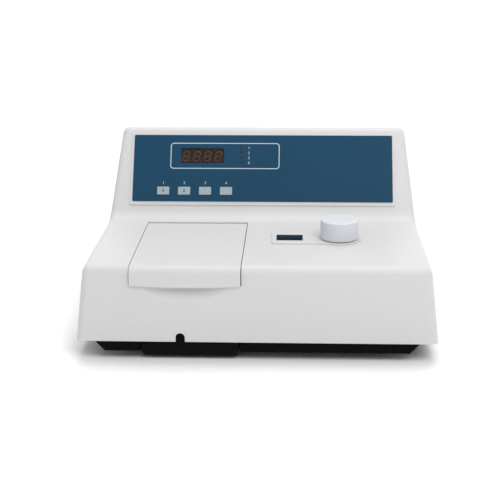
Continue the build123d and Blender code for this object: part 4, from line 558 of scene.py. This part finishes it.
def cut_across(work, faces):
    """Cuts flat figures into strips, so that they can bend round a rim."""
    for cut in range(-CUTS_EACH_WAY, CUTS_EACH_WAY + 1):
        parts = [f for f in faces if f.is_valid]
        edges = {e for f in parts for e in f.edges}
        corners = {v for f in parts for v in f.verts}
        cut_up = bmesh.ops.bisect_plane(
            work, geom=list(corners) + list(edges) + parts,
            plane_co=(0, cut * CUT_PITCH * MM, 0), plane_no=(0, 1, 0),
        )["geom"]
        faces = [g for g in cut_up if isinstance(g, bmesh.types.BMFace)]
    return [f for f in faces if f.is_valid]


for drum, place, first in (("hundreds", -1, 5), ("tens", 0, 0), ("screw", 1, 0)):
    def rim_numbers(work, place=place, first=first):
        """The ten numbers of a drum, bent round its rim."""
        for step in range(DRUM_NUMBERS):
            text = str((first + step) % DRUM_NUMBERS)
            verts = figures(work, text, NUMBER_H, RIM_INK_T)
            faces = [f for f in work.faces if all(v in verts for v in f.verts)]
            for vert in {v for f in cut_across(work, faces) for v in f.verts}:
                x, y, z = (c / MM for c in vert.co)
                radius = DRUM_R + RIM_INK_LIFT + z
                turn = step * DRUM_STEP + y / DRUM_R
                bent = Vector((place * DRUM_PITCH + x, radius * sin(turn), radius * cos(turn)))
                vert.co = (DRUM_AXIS + bent) * MM

    numbers = place_mesh(f"numbers_{drum}", rim_numbers, white_ink)
    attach(numbers, drum)

pane = clear_solid("dark_smoked_acrylic", "98958E", ACRYLIC_IOR, ACRYLIC_HAZE, 0.05, 0.12)
dress(pane, "counter_window")

# The sample chamber is an aluminium casting in matt black powder coat, which keeps stray
# light down. The coat has a fine orange peel.
COAT_SPECULAR = 0.06


def powder_coat(name, colour, shade, peel_mm, depth_mm, roughness, metallic=0.0):
    """Baked powder coat: flowed, slightly lumpy and satin to matt."""
    material, tree, where = new_finish(name)
    peel = patches(tree, where, peel_mm, 1.0)
    drift = patches(tree, where, 50, 2.0)
    close_finish(tree, {
        "Base Color": two_tones(tree, drift, colour, shade), "Metallic": metallic,
        "Roughness": between(tree, drift, roughness - 0.05, roughness + 0.05),
        "Specular IOR Level": COAT_SPECULAR, "Normal": relief(tree, peel, 0.6, depth_mm),
    })
    return material


black_coat = powder_coat("matt_black_powder_coat", "08080A", "0B0B0D", 1.2, 0.05, 0.6)
dress(black_coat, "sample_chamber")

# The foam strip under the lid is closed-cell and soft, with open pores on its cut face.
foam, tree, where = new_finish("closed_cell_foam")
cells = add_node(tree, "ShaderNodeTexVoronoi", {"Vector": where, "Scale": 1 / (0.8 * MM)})
close_finish(tree, {
    "Base Color": two_tones(tree, cells.outputs["Distance"], "1C1C1D", "29292A"),
    "Roughness": 0.95, "Normal": relief(tree, cells.outputs["Distance"], 0.8, 0.15),
})
dress(foam, "lid_seal")

# The cell holder and the optical mounts are aluminium, blasted and anodised black: a fine
# even grain with a soft metallic sheen.
black_anodised = powder_coat(
    "black_anodised_aluminium", "1A1B1E", "202125", 0.5, 0.015, 0.4, metallic=0.6
)
dress(
    black_anodised, "cuvette_holder", "slit_plates", "grating_table", "emission_tube",
    "excitation_tube", "filter_slide",
)

# The monochromator's box and plate, and the detector's housing, are aluminium castings
# with the grey, slightly rough skin that they have from the mould.
cast_skin = worked_metal("as_cast_aluminium", "A5A7A9", 0.52, 1.6, (1.0, 1.0, 1.0), 0.12)
dress(cast_skin, "monochromator_body", "monochromator_cover", "detector_housing")

# The concave grating is a glass blank, coated with aluminium over fine ruled lines.
ruled_mirror = worked_metal(
    "ruled_aluminised_glass", "DDE0E6", 0.1, 0.3, (1.0, 1.0, 0.02), 0.004
)
dress(ruled_mirror, "grating")

# The lenses are plano-convex and clear, the filter is coloured glass, and the lamp and
# the photomultiplier are clear blown glass.
crown_glass = clear_solid("clear_crown_glass", "F4F8F8", GLASS_IOR, GLASS_HAZE, 0.01, 0.04)
dress(crown_glass, "emission_lens", "excitation_lens")
filter_glass = clear_solid("blue_filter_glass", "5C7FD0", GLASS_IOR, GLASS_HAZE, 0.02, 0.05)
dress(filter_glass, "excitation_filter")
blown_glass = clear_solid("blown_lamp_glass", "F2F2EE", GLASS_IOR, GLASS_HAZE, 0.03, 0.06)
dress(blown_glass, "lamp", "photomultiplier")

# The lamp house is folded from plated steel sheet and stands over a ceramic socket.
plated_sheet = worked_metal("zinc_plated_sheet", "B4B6B8", 0.38, 1.2, (1.0, 1.0, 0.2), 0.02)
dress(plated_sheet, "lamp_house")
ceramic = moulded_plastic("unglazed_ceramic", "DCD8CF", "D3CFC6", 0.6, 0.05, 0.7)
dress(ceramic, "lamp_socket")

# The transformer has varnished iron laminations. At a scale of 1, the wave texture draws
# about six light or dark sheets to the metre.
LAMINATION = 0.5
WAVE_SHEETS = 6.0

laminated, tree, where = new_finish("varnished_laminations")
sheets = add_node(tree, "ShaderNodeTexWave", {
    "Vector": where, "Scale": 1 / (LAMINATION * MM) / WAVE_SHEETS, "Distortion": 0.3,
}, bands_direction="Y")
close_finish(tree, {
    "Base Color": two_tones(tree, sheets.outputs["Fac"], "3A3431", "55504C"),
    "Roughness": 0.4, "Metallic": 0.5, "Normal": relief(tree, sheets.outputs["Fac"], 0.5, 0.08),
})
dress(laminated, "power_transformer")

# The rear panel is sheet aluminium in light grey paint. It carries the fan, the mains
# inlet and the power switch, all in black plastic.
grey_paint = powder_coat("light_grey_sprayed_paint", "C6C6C4", "C1C1BF", 1.0, 0.03, 0.42)
dress(grey_paint, "rear_panel")
gloss_black = moulded_plastic("gloss_black_nylon", "0F0F10", "131314", 0.5, 0.005, 0.25)
dress(gloss_black, "mains_inlet", "power_switch", "power_rocker")

# The base pan is pressed steel in black powder coat, held by plated screws, and stands
# on four black rubber feet.
pan_coat = powder_coat("satin_black_powder_coat", "050506", "070708", 1.0, 0.04, 0.5)
dress(pan_coat, "base_pan")
screw_steel = worked_metal("zinc_plated_screw", "B9BBBE", 0.35, 0.5, (1.0, 1.0, 1.0), 0.01)
dress(screw_steel, "pan_head_screws")
rubber = moulded_plastic("black_rubber", "171717", "1D1D1D", 0.6, 0.06, 0.8)
dress(rubber, "feet")
